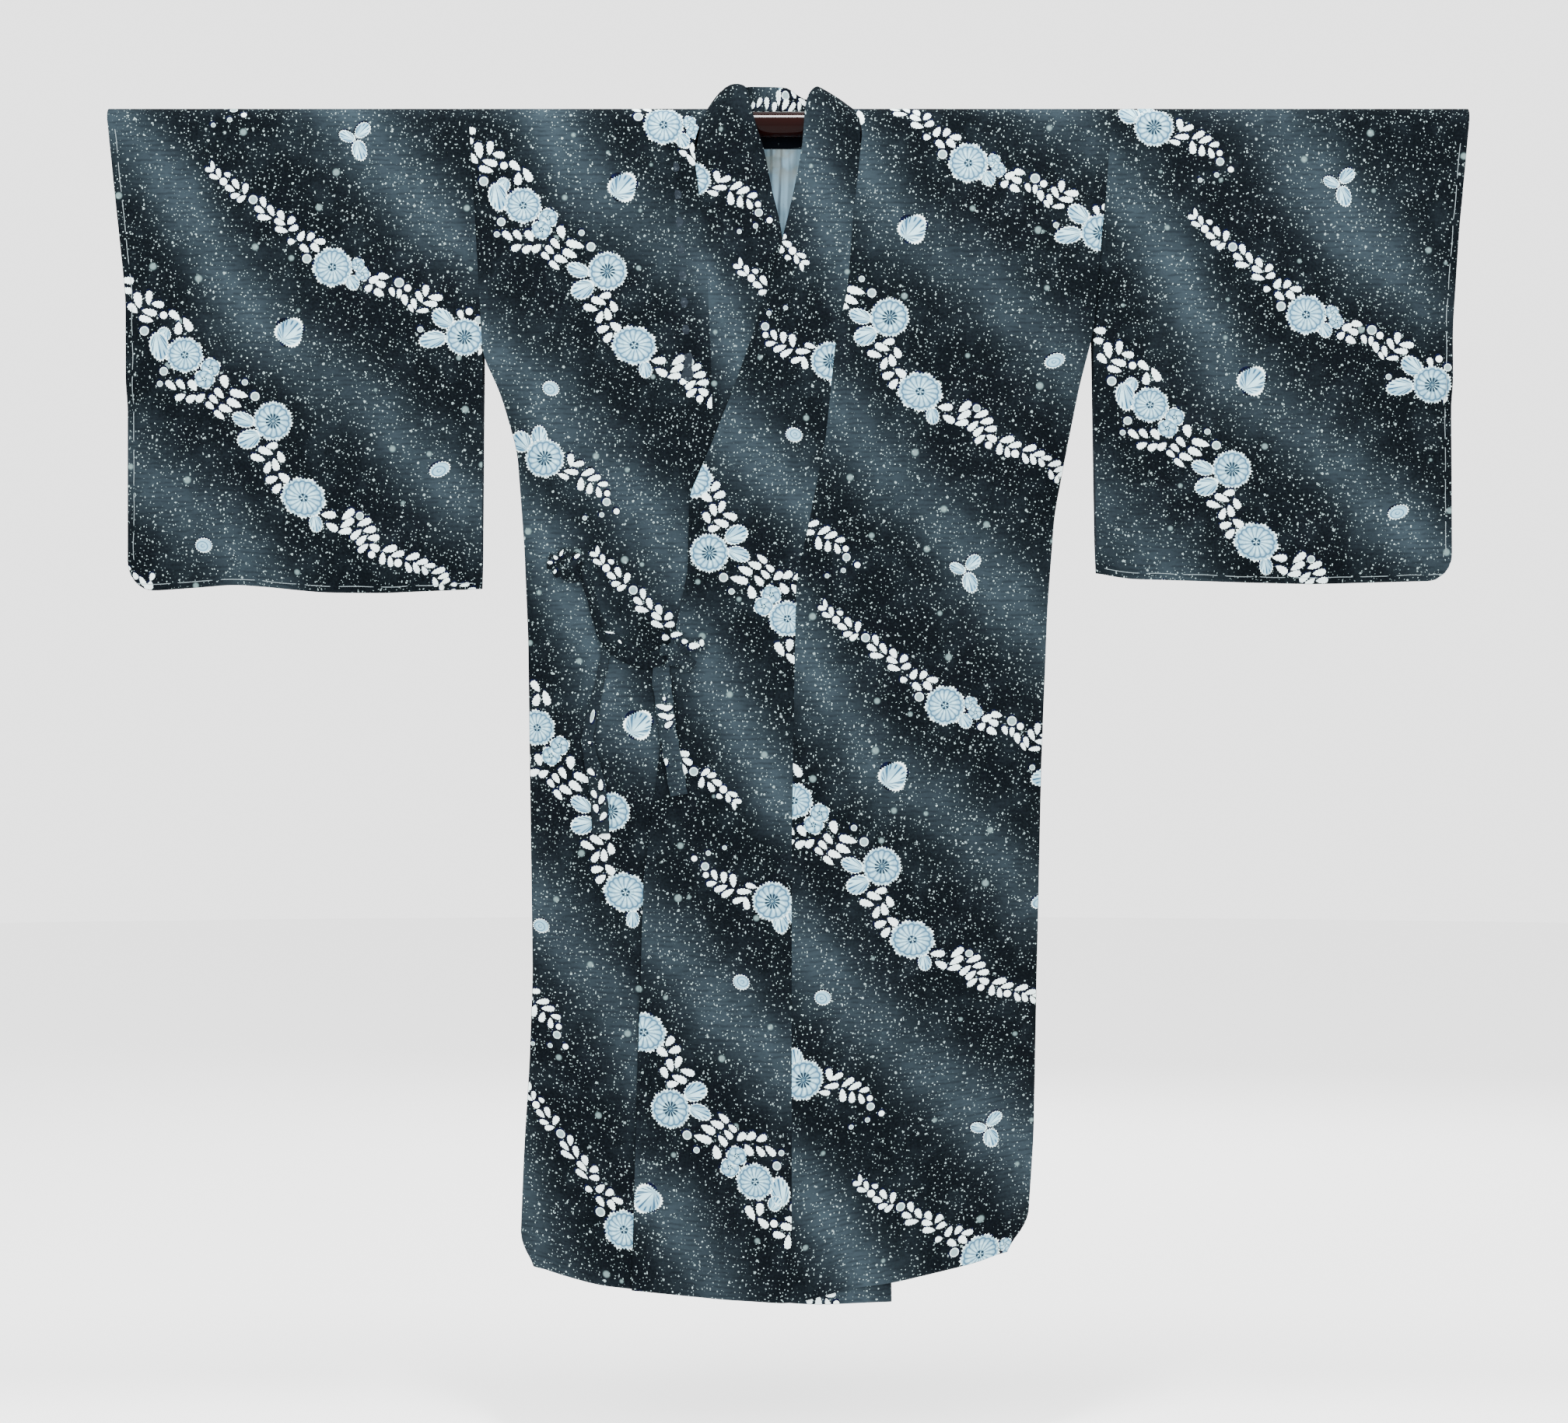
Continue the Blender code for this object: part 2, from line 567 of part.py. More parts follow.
def sleeve_x(half, drop, share):
    """X of a column of a sleeve at a drop, with the cuff's lower corner rounded."""
    sign = 1.0 if half == "left" else -1.0
    inner_x = lookup(SLEEVE_INNER[half], drop) + sign * SEAM / 2
    outer_x = lookup(SLEEVE_OUTER[half], drop)
    into_corner = max(drop - (SLEEVE_LENGTH - CUFF_CORNER), 0.0)
    chord = math.sqrt(max(CUFF_CORNER ** 2 - into_corner ** 2, 0.0))
    outer_x -= sign * (CUFF_CORNER - chord) * CORNER_SHARE
    return inner_x + (outer_x - inner_x) * share


def sleeve_depth(half, x, z, side):
    """Depth of a sleeve's wall in front (side -1) or behind (side 1)."""
    depth = OVER_ROD + (SLEEVE_FOOT_DEPTH - OVER_ROD) * ramp(-z, 0.0, SLEEVE_LENGTH)
    wave = relief(SLEEVE_FOLDS[half], x - side * 0.012, z)
    return depth + wave * ramp(-z, 0.0, 0.06)


def sleeve_point(half, share, path):
    """Outer point and inward direction of a sleeve."""
    drop = path_height(path)
    x = sleeve_x(half, drop, share)
    if abs(path) <= QUARTER_TURN:
        return over_rod(x, path)
    side = -1.0 if path < 0.0 else 1.0
    foot = lookup(SLEEVE_FOOT[half], x)
    z = -(drop + (foot - SLEEVE_LENGTH) * ramp(drop, 0.25, SLEEVE_LENGTH))
    depth = sleeve_depth(half, x, z, side)
    cuff_distance = abs(sleeve_x(half, drop, 1.0) - x)
    depth = closed_depth(depth, cuff_distance, ramp(drop, CUFF_END, CUFF_END + 0.03))
    depth = closed_depth(depth, foot + z, 1.0)
    return Vector((x, side * depth, z)), Vector((0.0, -side, 0.0))


def make_sleeve(half, material):
    """Build one sleeve: a length folded over the rod, closed at its foot and below the cuff."""
    down = [QUARTER_TURN + drop for drop in SLEEVE_DROPS]
    turn = [QUARTER_TURN * step / ARC_STEPS for step in range(-ARC_STEPS, ARC_STEPS + 1)]
    paths = [-path for path in down] + turn + down[::-1]
    grid = []
    for path in paths:
        shares = [crowded(step, SLEEVE_COLUMNS) for step in range(SLEEVE_COLUMNS + 1)]
        grid.append([sleeve_point(half, share, path) for share in shares])
    outer, inner = offset_wall(grid, CLOTH)
    return wall("sleeve_" + half, outer, inner, material)


def make_lining(material):
    """Build the shoulder lining from the points of the upper back, moved in."""
    last = LINING_COLUMNS + 1
    depth = sum(1 for drop in BACK_DROPS if drop <= LINING_DROP)
    start = -len(BACK_DROPS) - 1
    right = body_grid("right")[start:start + depth + 1]
    left = body_grid("left")[start:start + depth + 1]
    shaped = []
    for right_row, left_row in zip(right, left):
        points = right_row[:last][::-1] + left_row[:last]
        shaped.append([(point + inward * (CLOTH + SEAM), inward) for point, inward in points])
    outer, inner = offset_wall(shaped, LINING)
    return wall("back_lining", outer, inner, material, mirrored_columns=LINING_COLUMNS)


def make_rod(material):
    """Build the lacquered rod along X, with eased ends."""
    shape = bmesh.new()
    bmesh.ops.create_cone(
        shape, cap_ends=True, segments=ROD_SIDES, radius1=ROD_RADIUS, radius2=ROD_RADIUS, depth=ROD_LENGTH,
    )
    rims = [edge for edge in shape.edges if abs(edge.verts[0].co.z - edge.verts[1].co.z) < ROD_BEVEL]
    bmesh.ops.bevel(shape, geom=rims, offset=ROD_BEVEL, segments=1, affect="EDGES")
    for vertex in shape.verts:
        vertex.co = Vector((vertex.co.z, vertex.co.y, -vertex.co.x))
    return finish_mesh("rod", shape, material)


def surface_trees(items):
    """Search trees of the pieces that a tie or a knot may lie on."""
    trees = []
    for item in items:
        shape = bmesh.new()
        shape.from_mesh(item.data)
        trees.append(BVHTree.FromBMesh(shape))
        shape.free()
    return trees


def face_in_front(trees, x, z, reach):
    """Y of the foremost face around a place, looked for within a reach."""
    foremost = 0.0
    for dx in (-reach, 0.0, reach):
        for dz in (-reach, 0.0, reach):
            for tree in trees:
                hit = tree.ray_cast(Vector((x + dx, -0.2, z + dz)), Vector((0.0, 1.0, 0.0)))[0]
                if hit is not None:
                    foremost = min(foremost, hit.y)
    return foremost


def finer_route(route):
    """Stations of a route with even steps added between them, on a smooth line."""
    stations = []
    for index in range(len(route) - 1):
        before = Vector(route[max(index - 1, 0)])
        start = Vector(route[index])
        end = Vector(route[index + 1])
        after = Vector(route[min(index + 2, len(route) - 1)])
        for step in range(TIE_STEPS):
            t = step / TIE_STEPS
            bend = (end - before) * t + (before * 2.0 - start * 5.0 + end * 4.0 - after) * t ** 2
            bend += (start * 3.0 - before - end * 3.0 + after) * t ** 3
            stations.append(Route(*(start + bend * 0.5)))
    stations.append(route[-1])
    return stations


def make_tie(name, route, trees, material):
    """Build a flat tie that lies along a route on what is beneath it."""
    route = finer_route(route)
    outer = []
    inner = []
    for index, station in enumerate(route):
        before = route[max(index - 1, 0)]
        after = route[min(index + 1, len(route) - 1)]
        along = Vector((after.x - before.x, 0.0, after.z - before.z)).normalized()
        across = Vector((-along.z, 0.0, along.x))
        outer_row = []
        inner_row = []
        for column in range(-TIE_COLUMNS, TIE_COLUMNS + 1):
            share = column / TIE_COLUMNS
            place = Vector((station.x, 0.0, station.z)) + across * (share * station.width / 2)
            place.y = face_in_front(trees, place.x, place.z, SAMPLE_REACH) - TIE_GAP
            inner_row.append(place)
            crown = TIE_CROWN * (1.0 - share * share)
            outer_row.append(place - Vector((0.0, TIE + crown, 0.0)))
        outer.append(outer_row)
        inner.append(inner_row)
    return wall(name, outer, inner, material)


def knot_reach(lobes, degrees):
    """Outline of a knot around its middle: a round core with a loop in each lobe."""
    reach = KNOT_CORE
    for lobe in lobes:
        gap = (degrees - lobe.degrees + 180.0) % 360.0 - 180.0
        reach += lobe.reach * math.exp(-(gap / lobe.spread) ** 2)
    return reach


def make_knot(name, centre, lobes, trees, material):
    """Build a decorative knot: loops around a raised middle, flat where it is sewn on."""
    spokes = [360.0 * spoke / KNOT_SPOKES for spoke in range(KNOT_SPOKES)]
    seat = 0.0
    for degrees in spokes:
        for share in (0.3, 0.65, 1.0):
            reach = knot_reach(lobes, degrees) * share
            x = centre[0] + reach * math.cos(math.radians(degrees))
            z = centre[1] + reach * math.sin(math.radians(degrees))
            seat = min(seat, face_in_front(trees, x, z, 0.001))
    seat -= KNOT_GAP
    shape = bmesh.new()
    crown = shape.verts.new((centre[0], seat - KNOT_HEIGHT, centre[1]))
    base = shape.verts.new((centre[0], seat, centre[1]))
    rings = []
    for ring in range(1, KNOT_RINGS + 1):
        share = ring / KNOT_RINGS
        loop = []
        for degrees in spokes:
            reach = knot_reach(lobes, degrees)
            span = reach * share
            swell = KNOT_HEIGHT * (0.45 + 0.55 * math.exp(-(span / KNOT_CORE) ** 2))
            height = max(swell * math.sqrt(max(1.0 - share ** 4, 0.0)), 0.0012)
            x = centre[0] + span * math.cos(math.radians(degrees))
            z = centre[1] + span * math.sin(math.radians(degrees))
            loop.append(shape.verts.new((x, seat - height, z)))
        rings.append(loop)
    foot = [shape.verts.new((vertex.co.x, seat, vertex.co.z)) for vertex in rings[-1]]
    rings.append(foot)
    for spoke in range(KNOT_SPOKES):
        after = (spoke + 1) % KNOT_SPOKES
        shape.faces.new((crown, rings[0][spoke], rings[0][after]))
        shape.faces.new((base, foot[after], foot[spoke]))
        for ring in range(KNOT_RINGS):
            shape.faces.new((
                rings[ring][spoke], rings[ring + 1][spoke], rings[ring + 1][after], rings[ring][after],
            ))
    return finish_mesh(name, shape, material)


def main():
    """Build the coat piece by piece, what lies outside after what lies inside."""
    clear_scene()
    cloth = plain_material("printed_crepe", CLOTH_COLOUR, 0.75)
    smoke = plain_material("printed_crepe_light", SMOKE_COLOUR, 0.75)
    pale = plain_material("pale_lining", LINING_COLOUR, 0.55)
    lacquer = plain_material("brown_lacquer", LACQUER_COLOUR, 0.15)
    make_rod(lacquer)
    make_lining(pale)
    body_right = make_body("right", cloth)
    body_left = make_body("left", cloth)
    band_right = make_band("right", smoke)
    band_left = make_band("left", smoke)
    make_sleeve("right", cloth)
    make_sleeve("left", cloth)
    beneath = [body_right, body_left, band_right, band_left]
    for name, route in (
        ("tie_end_short", TIE_END_SHORT), ("tie_end_long", TIE_END_LONG), ("tie_across", TIE_ACROSS),
    ):
        beneath.append(make_tie(name, route, surface_trees(beneath), smoke))
    make_knot("knot_side", SIDE_KNOT_CENTRE, SIDE_KNOT_LOBES, surface_trees(beneath), cloth)
    make_knot("knot_edge", EDGE_KNOT_CENTRE, EDGE_KNOT_LOBES, surface_trees(beneath), cloth)


main()
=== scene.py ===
"""Dress the kimono coat on its rod: printed crepe, pale lining, knotted ties, basting and lacquer."""

import logging
import math
import random
from dataclasses import dataclass, field
from enum import Enum
from typing import NamedTuple, Optional, Sequence

import bpy
import numpy as np
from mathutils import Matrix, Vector
from mathutils.bvhtree import BVHTree
from mathutils.geometry import delaunay_2d_cdt


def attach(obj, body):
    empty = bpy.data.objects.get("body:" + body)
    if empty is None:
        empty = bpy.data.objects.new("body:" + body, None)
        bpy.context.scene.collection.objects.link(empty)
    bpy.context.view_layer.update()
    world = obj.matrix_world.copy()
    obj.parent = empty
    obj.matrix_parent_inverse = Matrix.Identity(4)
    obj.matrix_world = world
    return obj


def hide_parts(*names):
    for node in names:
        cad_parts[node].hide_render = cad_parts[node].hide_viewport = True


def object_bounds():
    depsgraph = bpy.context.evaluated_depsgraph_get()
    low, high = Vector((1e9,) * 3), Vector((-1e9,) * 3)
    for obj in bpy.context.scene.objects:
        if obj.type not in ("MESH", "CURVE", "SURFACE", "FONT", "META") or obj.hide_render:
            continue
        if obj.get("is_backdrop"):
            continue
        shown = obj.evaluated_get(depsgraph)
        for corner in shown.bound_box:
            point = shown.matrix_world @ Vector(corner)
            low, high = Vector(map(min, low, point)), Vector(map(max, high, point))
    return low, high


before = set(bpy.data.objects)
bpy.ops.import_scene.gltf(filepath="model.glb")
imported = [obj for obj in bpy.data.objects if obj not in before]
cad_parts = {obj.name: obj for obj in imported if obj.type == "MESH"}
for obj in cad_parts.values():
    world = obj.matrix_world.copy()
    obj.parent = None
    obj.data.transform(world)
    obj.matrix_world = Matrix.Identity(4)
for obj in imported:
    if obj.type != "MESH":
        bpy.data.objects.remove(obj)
LOG = logging.getLogger("kimono_coat")

# Sizes in metres, the same as in the part's source. Sides are the wearer's, so the left half
# lies at the viewer's right, and the front faces -Y.
ROD_RADIUS = 0.0125
OVER_ROD = ROD_RADIUS + 0.0008 + 0.0018
QUARTER_TURN = OVER_ROD * math.pi / 2
CLOTH = 0.0018
SEAM = 0.0003
LAYER_STEP = CLOTH + 0.0010
HANG_DEPTH = 0.0165
SLEEVE_FOOT_DEPTH = 0.0110
SETTLE_DROP = 0.25
EDGE_ROLL = 0.034
BODY_LENGTH = 1.12
HEM_BLEND_START = 0.70
HEM_ROUNDS = 6
BEND_REACH = 0.040
BEND_STEP = 0.0028
EDGE_MARGIN = 0.0015
RIM_BULGE = 0.35
RIPPLE = 0.00032
CUFF_CLOSE = 0.03
SLEEVE_BLEND_START = 0.25
LINING_SHARE = {"right": 0.54, "left": 0.46}
CENTRE_BACK = -0.009
NECK_DROP = 0.022
SLEEVE_LENGTH = 0.445
CUFF_END = 0.245
CUFF_CORNER = 0.026
CORNER_SHARE = 0.9
ARMHOLE_CLOSE = 0.055
ARMHOLE_FOOT = {"right": 0.2228, "left": 0.2004}
SHOULDER_DROP = 0.035
LINING_DROP = 0.29
# Drops over which the ripple, the folds and the under layer set in.
RIPPLE_TOP = (0.01, 0.06)
FRONT_FOLD_TOP = (0.0, 0.05)
BACK_FOLD_TOP = (0.05, 0.30)
SLEEVE_FOLD_TOP = (0.0, 0.06)
UNDER_LAYER_TOP = (0.02, 0.11)
# Distances from the top band's free edge, and X, over which the folds of each front set in.
UNDER_FOLD_SIDE = (0.004, 0.035)
TOP_FOLD_SIDE = (0.03, 0.09)
# Height above the rod, below zero under it, over which the flat band turns into the collar.
COLLAR_BLEND = (-0.120, -0.085)
# How far to each side the tables of seams, free edges and hems are averaged.
SEAM_BLUR = 0.010
FREE_BLUR = 0.006
HEM_BLUR = 0.012
# Angles at which the round neck and the sleeve's round corner have stations.
NECK_CUT = (55.0, 62.0, 68.0, 73.0, 78.0, 82.0, 85.5, 88.5, 90.0)
CORNER_CUT = (90, 80, 70, 58, 45, 30, 15)

# The print's chart: a square of it is 0.7464 mm, X runs right and Y down, and the rod's middle
# is at (1013, 156.5).
CHART = 0.0007464
CHART_X = 1013.0
CHART_Y = 156.5
REPEAT = 711.0
# Squares from which repeats are counted and up to which the first runs, the bands' further rise at
# the shoulder, and how many squares of rise a slant is carried over.
REPEAT_TOP = 100.0
REPEAT_FIRST = 160.0
BAND_RISE = 90.0
SLANT_RUN = 300.0

Array = np.ndarray
Pair = tuple[float, float]
Triple = tuple[float, float, float]
Rows = tuple[tuple[float, ...], ...]
Tables = dict[str, Rows]
Material = bpy.types.Material
Socket = bpy.types.NodeSocket


class Fold(NamedTuple):
    """A soft ridge, or a trough where height is below zero."""

    x_top: float
    z_top: float
    x_foot: float
    z_foot: float
    width: float
    height: float


class Loop(NamedTuple):
    """A loop of a knot: its direction in degrees, reach, width, lowest and highest stand."""

    degrees: float
    reach: float
    width: float
    low: float
    high: float


# Rows of drop below the rod and X.
BODY_SIDE: Tables = {
    "right": (
        (0.0, -0.306), (0.2228, -0.2933), (0.2564, -0.2777), (0.2862, -0.2687), (0.3161, -0.2605),
        (0.4057, -0.2538), (0.4952, -0.25), (0.8236, -0.2456), (0.9132, -0.2486), (1.0028, -0.2538),
        (1.097, -0.2575), (1.12, -0.243),
    ),
    "left": (
        (0.0, 0.3112), (0.2004, 0.2933), (0.2564, 0.2799), (0.3161, 0.268), (0.3758, 0.2568),
        (0.465, 0.25), (0.6146, 0.2441), (0.8236, 0.2396), (1.0028, 0.2366), (1.09, 0.2314),
        (1.12, 0.209),
    ),
}
BAND_SEAM: Tables = {
    "right": (
        (-OVER_ROD, -0.076), (0.017, -0.0905), (0.0922, -0.0829), (0.1273, -0.0784), (0.2265, -0.0739),
        (0.33, -0.071), (0.5, -0.063), (0.8, -0.056), (1.12, -0.0522),
    ),
    "left": (
        (-OVER_ROD, 0.061), (0.003, 0.0725), (0.0899, 0.0627), (0.1601, 0.0575), (0.2071, 0.0463),
        (0.3012, 0.0366), (0.3855, 0.0202), (0.4393, 0.0082), (0.5401, 0.006), (0.7, 0.0037),
        (1.12, 0.0037),
    ),
}
BAND_FREE: Tables = {
    "right": (
        (0.0198, -0.0269), (0.0944, -0.0082), (0.1235, -0.004), (0.2, 0.012), (0.25, 0.028),
        (0.31, 0.05), (0.36, 0.064), (0.43, 0.069), (0.52, 0.08), (0.63, 0.088), (0.85, 0.095),
        (1.12, 0.0993),
    ),
    "left": (
        (0.0243, 0.0157), (0.1235, -0.0075), (0.1467, -0.0149), (0.1982, -0.0313), (0.2474, -0.0485),
        (0.3109, -0.0739), (0.3572, -0.094), (0.4303, -0.0955), (0.4803, -0.106), (0.5177, -0.1127),
        (0.6296, -0.1254), (0.7266, -0.1381), (0.9125, -0.1441), (1.12, -0.1497),
    ),
}
# The standing collar's top edge, in rows of X, Y and Z.
COLLAR_TOP: Tables = {
    "right": (
        (-0.0231, -0.0158, -0.028), (-0.031, -0.016, -0.002), (-0.0343, -0.0157, 0.01),
        (-0.0365, -0.0142, 0.0225), (-0.039, -0.0107, 0.031), (-0.0412, -0.005, 0.0362),
        (-0.0428, 0.0005, 0.0378), (-0.0432, 0.006, 0.0382), (-0.042, 0.0105, 0.0384),
        (-0.039, 0.014, 0.0386), (-0.034, 0.0165, 0.0388), (-0.027, 0.0178, 0.0388),
        (-0.018, 0.018, 0.0388), (CENTRE_BACK, 0.018, 0.0386),
    ),
    "left": (
        (0.0132, -0.0158, -0.028), (0.0157, -0.016, -0.002), (0.0165, -0.0157, 0.01),
        (0.019, -0.0142, 0.0235), (0.023, -0.0107, 0.0315), (0.0272, -0.005, 0.036),
        (0.0305, 0.0005, 0.0364), (0.0308, 0.006, 0.035), (0.0285, 0.0105, 0.0322),
        (0.024, 0.014, 0.0286), (0.018, 0.0165, 0.0262), (0.009, 0.0178, 0.031), (0.0, 0.018, 0.0372),
        (CENTRE_BACK, 0.018, 0.0386),
    ),
}
COLLAR_CROWN = {"right": 0.0105, "left": 0.002}
# Drops of the collar's lowest stations, and angles of those round the neck.
COLLAR_DROPS = (0.125, 0.095, 0.065)
NECK_ANGLES = (7.5, 15.0, 23.0, 31.0, 45.0, 60.0, 75.0, 90.0)
ARC_STEPS = 4
# Rows of X and how far the hem hangs below the rod.
FRONT_HEM: Tables = {
    "right": (
        (-0.243, 1.1), (-0.1814, 1.117), (-0.15, 1.1205), (-0.06, 1.13), (0.0276, 1.1357),
        (0.0993, 1.1327),
    ),
    "left": (
        (-0.15, 1.1215), (-0.062, 1.1305), (0.0037, 1.1345), (0.028, 1.1285), (0.06, 1.1195),
        (0.0993, 1.1147), (0.1769, 1.096), (0.209, 1.086),
    ),
}
BACK_HEM: Tables = {
    "right": ((-0.243, 1.096), (-0.15, 1.108), (CENTRE_BACK, 1.116)),
    "left": ((CENTRE_BACK, 1.116), (0.1, 1.108), (0.209, 1.082)),
}
# Sleeve seam and cuff in rows of drop and X, and the foot in rows of X and drop.
SLEEVE_INNER: Tables = {
    "right": ((0.0, -0.306), (0.2228, -0.2933), (0.45, -0.2948)),
    "left": ((0.0, 0.3112), (0.2004, 0.2933), (0.45, 0.2971)),
}
SLEEVE_OUTER: Tables = {
    "right": ((-OVER_ROD, -0.6546), (0.1668, -0.6359), (0.45, -0.6359)),
    "left": ((-OVER_ROD, 0.6553), (0.107, 0.6441), (0.1967, 0.6385), (0.45, 0.64)),
}
SLEEVE_FOOT: Tables = {
    "right": (
        (-0.6359, 0.447), (-0.614, 0.4494), (-0.575, 0.4468), (-0.535, 0.4434), (-0.5098, 0.445),
        (-0.4501, 0.451), (-0.3904, 0.4516), (-0.2948, 0.4475),
    ),
    "left": (
        (0.2963, 0.432), (0.3262, 0.4378), (0.4456, 0.4415), (0.5053, 0.443), (0.64, 0.4393),
    ),
}
UNDER_FRONT_FOLDS = (
    Fold(-0.288, -0.25, -0.178, -0.37, 0.02, 0.0042),
    Fold(-0.178, -0.37, -0.125, -0.47, 0.016, 0.0034),
    Fold(-0.26, -0.27, -0.165, -0.395, 0.013, -0.003),
    Fold(-0.255, -0.33, -0.16, -0.445, 0.018, 0.003),
    Fold(-0.21, -0.2, -0.13, -0.35, 0.022, 0.0026),
    Fold(-0.111, -0.01, -0.096, -0.24, 0.009, -0.0055),
    Fold(-0.125, -0.01, -0.113, -0.25, 0.012, 0.0034),
    Fold(-0.22, -0.56, -0.215, -1.08, 0.02, 0.0026),
    Fold(-0.185, -0.62, -0.175, -1.06, 0.016, -0.0022),
)
TOP_FRONT_FOLDS = (
    Fold(0.26, -0.23, 0.15, -0.42, 0.024, 0.003),
    Fold(0.22, -0.22, 0.13, -0.36, 0.018, -0.0018),
    Fold(0.195, -0.45, 0.205, -1.06, 0.026, 0.0028),
    Fold(0.15, -0.52, 0.145, -1.08, 0.02, -0.0016),
    Fold(0.1, -0.15, 0.105, -0.42, 0.022, 0.0014),
)
BACK_FOLDS = (
    Fold(-0.215, -0.3, -0.205, -1.07, 0.022, 0.004),
    Fold(-0.165, -0.26, -0.158, -1.08, 0.018, -0.0024),
    Fold(-0.118, -0.34, -0.112, -1.09, 0.022, 0.005),
    Fold(-0.062, -0.42, -0.06, -1.1, 0.018, -0.0022),
    Fold(0.06, -0.4, 0.056, -1.1, 0.02, 0.0036),
    Fold(0.108, -0.3, 0.102, -1.09, 0.018, -0.0024),
    Fold(0.158, -0.28, 0.15, -1.07, 0.024, 0.0048),
    Fold(0.215, -0.32, 0.2, -1.05, 0.018, -0.002),
    Fold(-0.27, -0.21, -0.15, -0.38, 0.022, 0.003),
    Fold(0.27, -0.2, 0.16, -0.39, 0.024, 0.0034),
)
LINING_TUCKS = (
    Fold(-0.0135, -0.02, -0.0115, -0.29, 0.0026, 0.0022),
    Fold(-0.004, -0.02, -0.006, -0.2, 0.0022, 0.0016),
    Fold(0.007, -0.03, 0.009, -0.22, 0.005, 0.0014),
    Fold(-0.027, -0.04, -0.03, -0.2, 0.005, 0.0009),
)
SLEEVE_FOLDS: dict[str, tuple[Fold, ...]] = {
    "right": (
        Fold(-0.4, -0.05, -0.37, -0.39, 0.03, 0.0018),
        Fold(-0.49, -0.07, -0.48, -0.4, 0.026, -0.0014),
        Fold(-0.57, -0.06, -0.58, -0.38, 0.03, 0.0016),
    ),
    "left": (
        Fold(0.39, -0.06, 0.36, -0.38, 0.028, 0.0018),
        Fold(0.47, -0.05, 0.49, -0.39, 0.026, -0.0013),
        Fold(0.56, -0.08, 0.55, -0.4, 0.03, 0.0016),
    ),
}

# Ties in rows of X, Z and width.
TIE_GAP = 0.0006
TIE_CROWN = 0.0007
TIE_PLEAT = 0.0006
KNOT_SINK = 0.0002
# How far across a tie and a knot, and round each place on a tie, the cloth beneath is felt for.
TIE_REACH = 0.012
KNOT_REACH = (0.020, 0.016)
TIE_FEEL = (-0.004, 0.0, 0.004)
TIE_END_SHORT = (
    (-0.173, -0.502, 0.009), (-0.178, -0.525, 0.008), (-0.183, -0.548, 0.008), (-0.188, -0.57, 0.01),
    (-0.192, -0.592, 0.011), (-0.189, -0.612, 0.013), (-0.184, -0.632, 0.015), (-0.181, -0.656, 0.016),
    (-0.18, -0.683, 0.016),
)
TIE_END_LONG = (
    (-0.121, -0.514, 0.014), (-0.1215, -0.532, 0.017), (-0.119, -0.555, 0.017), (-0.116, -0.58, 0.016),
    (-0.112, -0.603, 0.016), (-0.108, -0.626, 0.016), (-0.1045, -0.646, 0.017),
)
TIE_ACROSS = (
    (-0.203, -0.425, 0.01), (-0.195, -0.437, 0.009), (-0.189, -0.456, 0.008), (-0.183, -0.476, 0.009),
    (-0.175, -0.493, 0.014), (-0.16, -0.506, 0.018), (-0.142, -0.515, 0.018), (-0.126, -0.515, 0.015),
    (-0.113, -0.509, 0.012),
)
SIDE_KNOT = (-0.208, -0.4265)
SIDE_LOOPS = (
    Loop(168.0, 0.0235, 0.015, 0.0008, 0.005), Loop(118.0, 0.0185, 0.0125, 0.0012, 0.0066),
    Loop(200.0, 0.019, 0.012, 0.0014, 0.0064), Loop(52.0, 0.015, 0.012, 0.001, 0.006),
    Loop(-72.0, 0.0165, 0.0135, 0.0008, 0.0056), Loop(-128.0, 0.015, 0.0115, 0.0012, 0.0062),
)
EDGE_KNOT = (-0.1085, -0.5085)
EDGE_LOOPS = (
    Loop(82.0, 0.0205, 0.013, 0.001, 0.0056), Loop(16.0, 0.03, 0.0135, 0.0008, 0.0056),
    Loop(48.0, 0.017, 0.0115, 0.0014, 0.0066), Loop(-44.0, 0.0235, 0.015, 0.0008, 0.0058),
    Loop(172.0, 0.014, 0.012, 0.0012, 0.006), Loop(-100.0, 0.014, 0.012, 0.0014, 0.0062),
)
KNOT_CORE = 0.0088
KNOT_HEIGHT = 0.008
# Printed leaves on the ties and on the knots' loops, by the loop's number, in rows of X, place along
# (from the far end on a loop), length, width and lean in degrees, all in millimetres. A sixth value is
# the number of the kind where it isn't a leaf.
TIE_LEAVES: Tables = {
    "short": ((0.5, 70.0, 13.0, 3.6, 90, 3), (1.5, 96.0, 3.0, 3.5, 200), (-3.0, 124.0, 9.0, 6.5, 60),
              (3.5, 138.0, 11.0, 6.0, -80), (-4.0, 146.0, 9.0, 6.5, 70), (2.5, 152.0, 9.5, 7.0, 120),
              (-3.5, 160.0, 9.0, 6.5, 80), (3.0, 168.0, 10.0, 6.5, 130)),
    "long": ((0.5, 40.0, 4.0, 4.0, 90), (-3.5, 47.0, 10.0, 6.5, 200), (3.0, 49.0, 10.0, 7.0, -10),
             (-2.5, 56.0, 10.5, 6.5, 200), (4.0, 58.0, 10.0, 6.5, -15), (2.0, 65.0, 10.0, 6.5, -30),
             (-7.0, 100.0, 7.0, 6.0, 90)),
    "across": ((6.2, 76.0, 15.0, 2.2, 50), (5.0, 89.0, 5.0, 2.6, 100)),
}
TIE_SMOKE = {"short": 0.2, "long": 0.42, "across": 0.04}
KNOT_SMOKE = {"knot_side": 0.03, "knot_edge": 0.2}
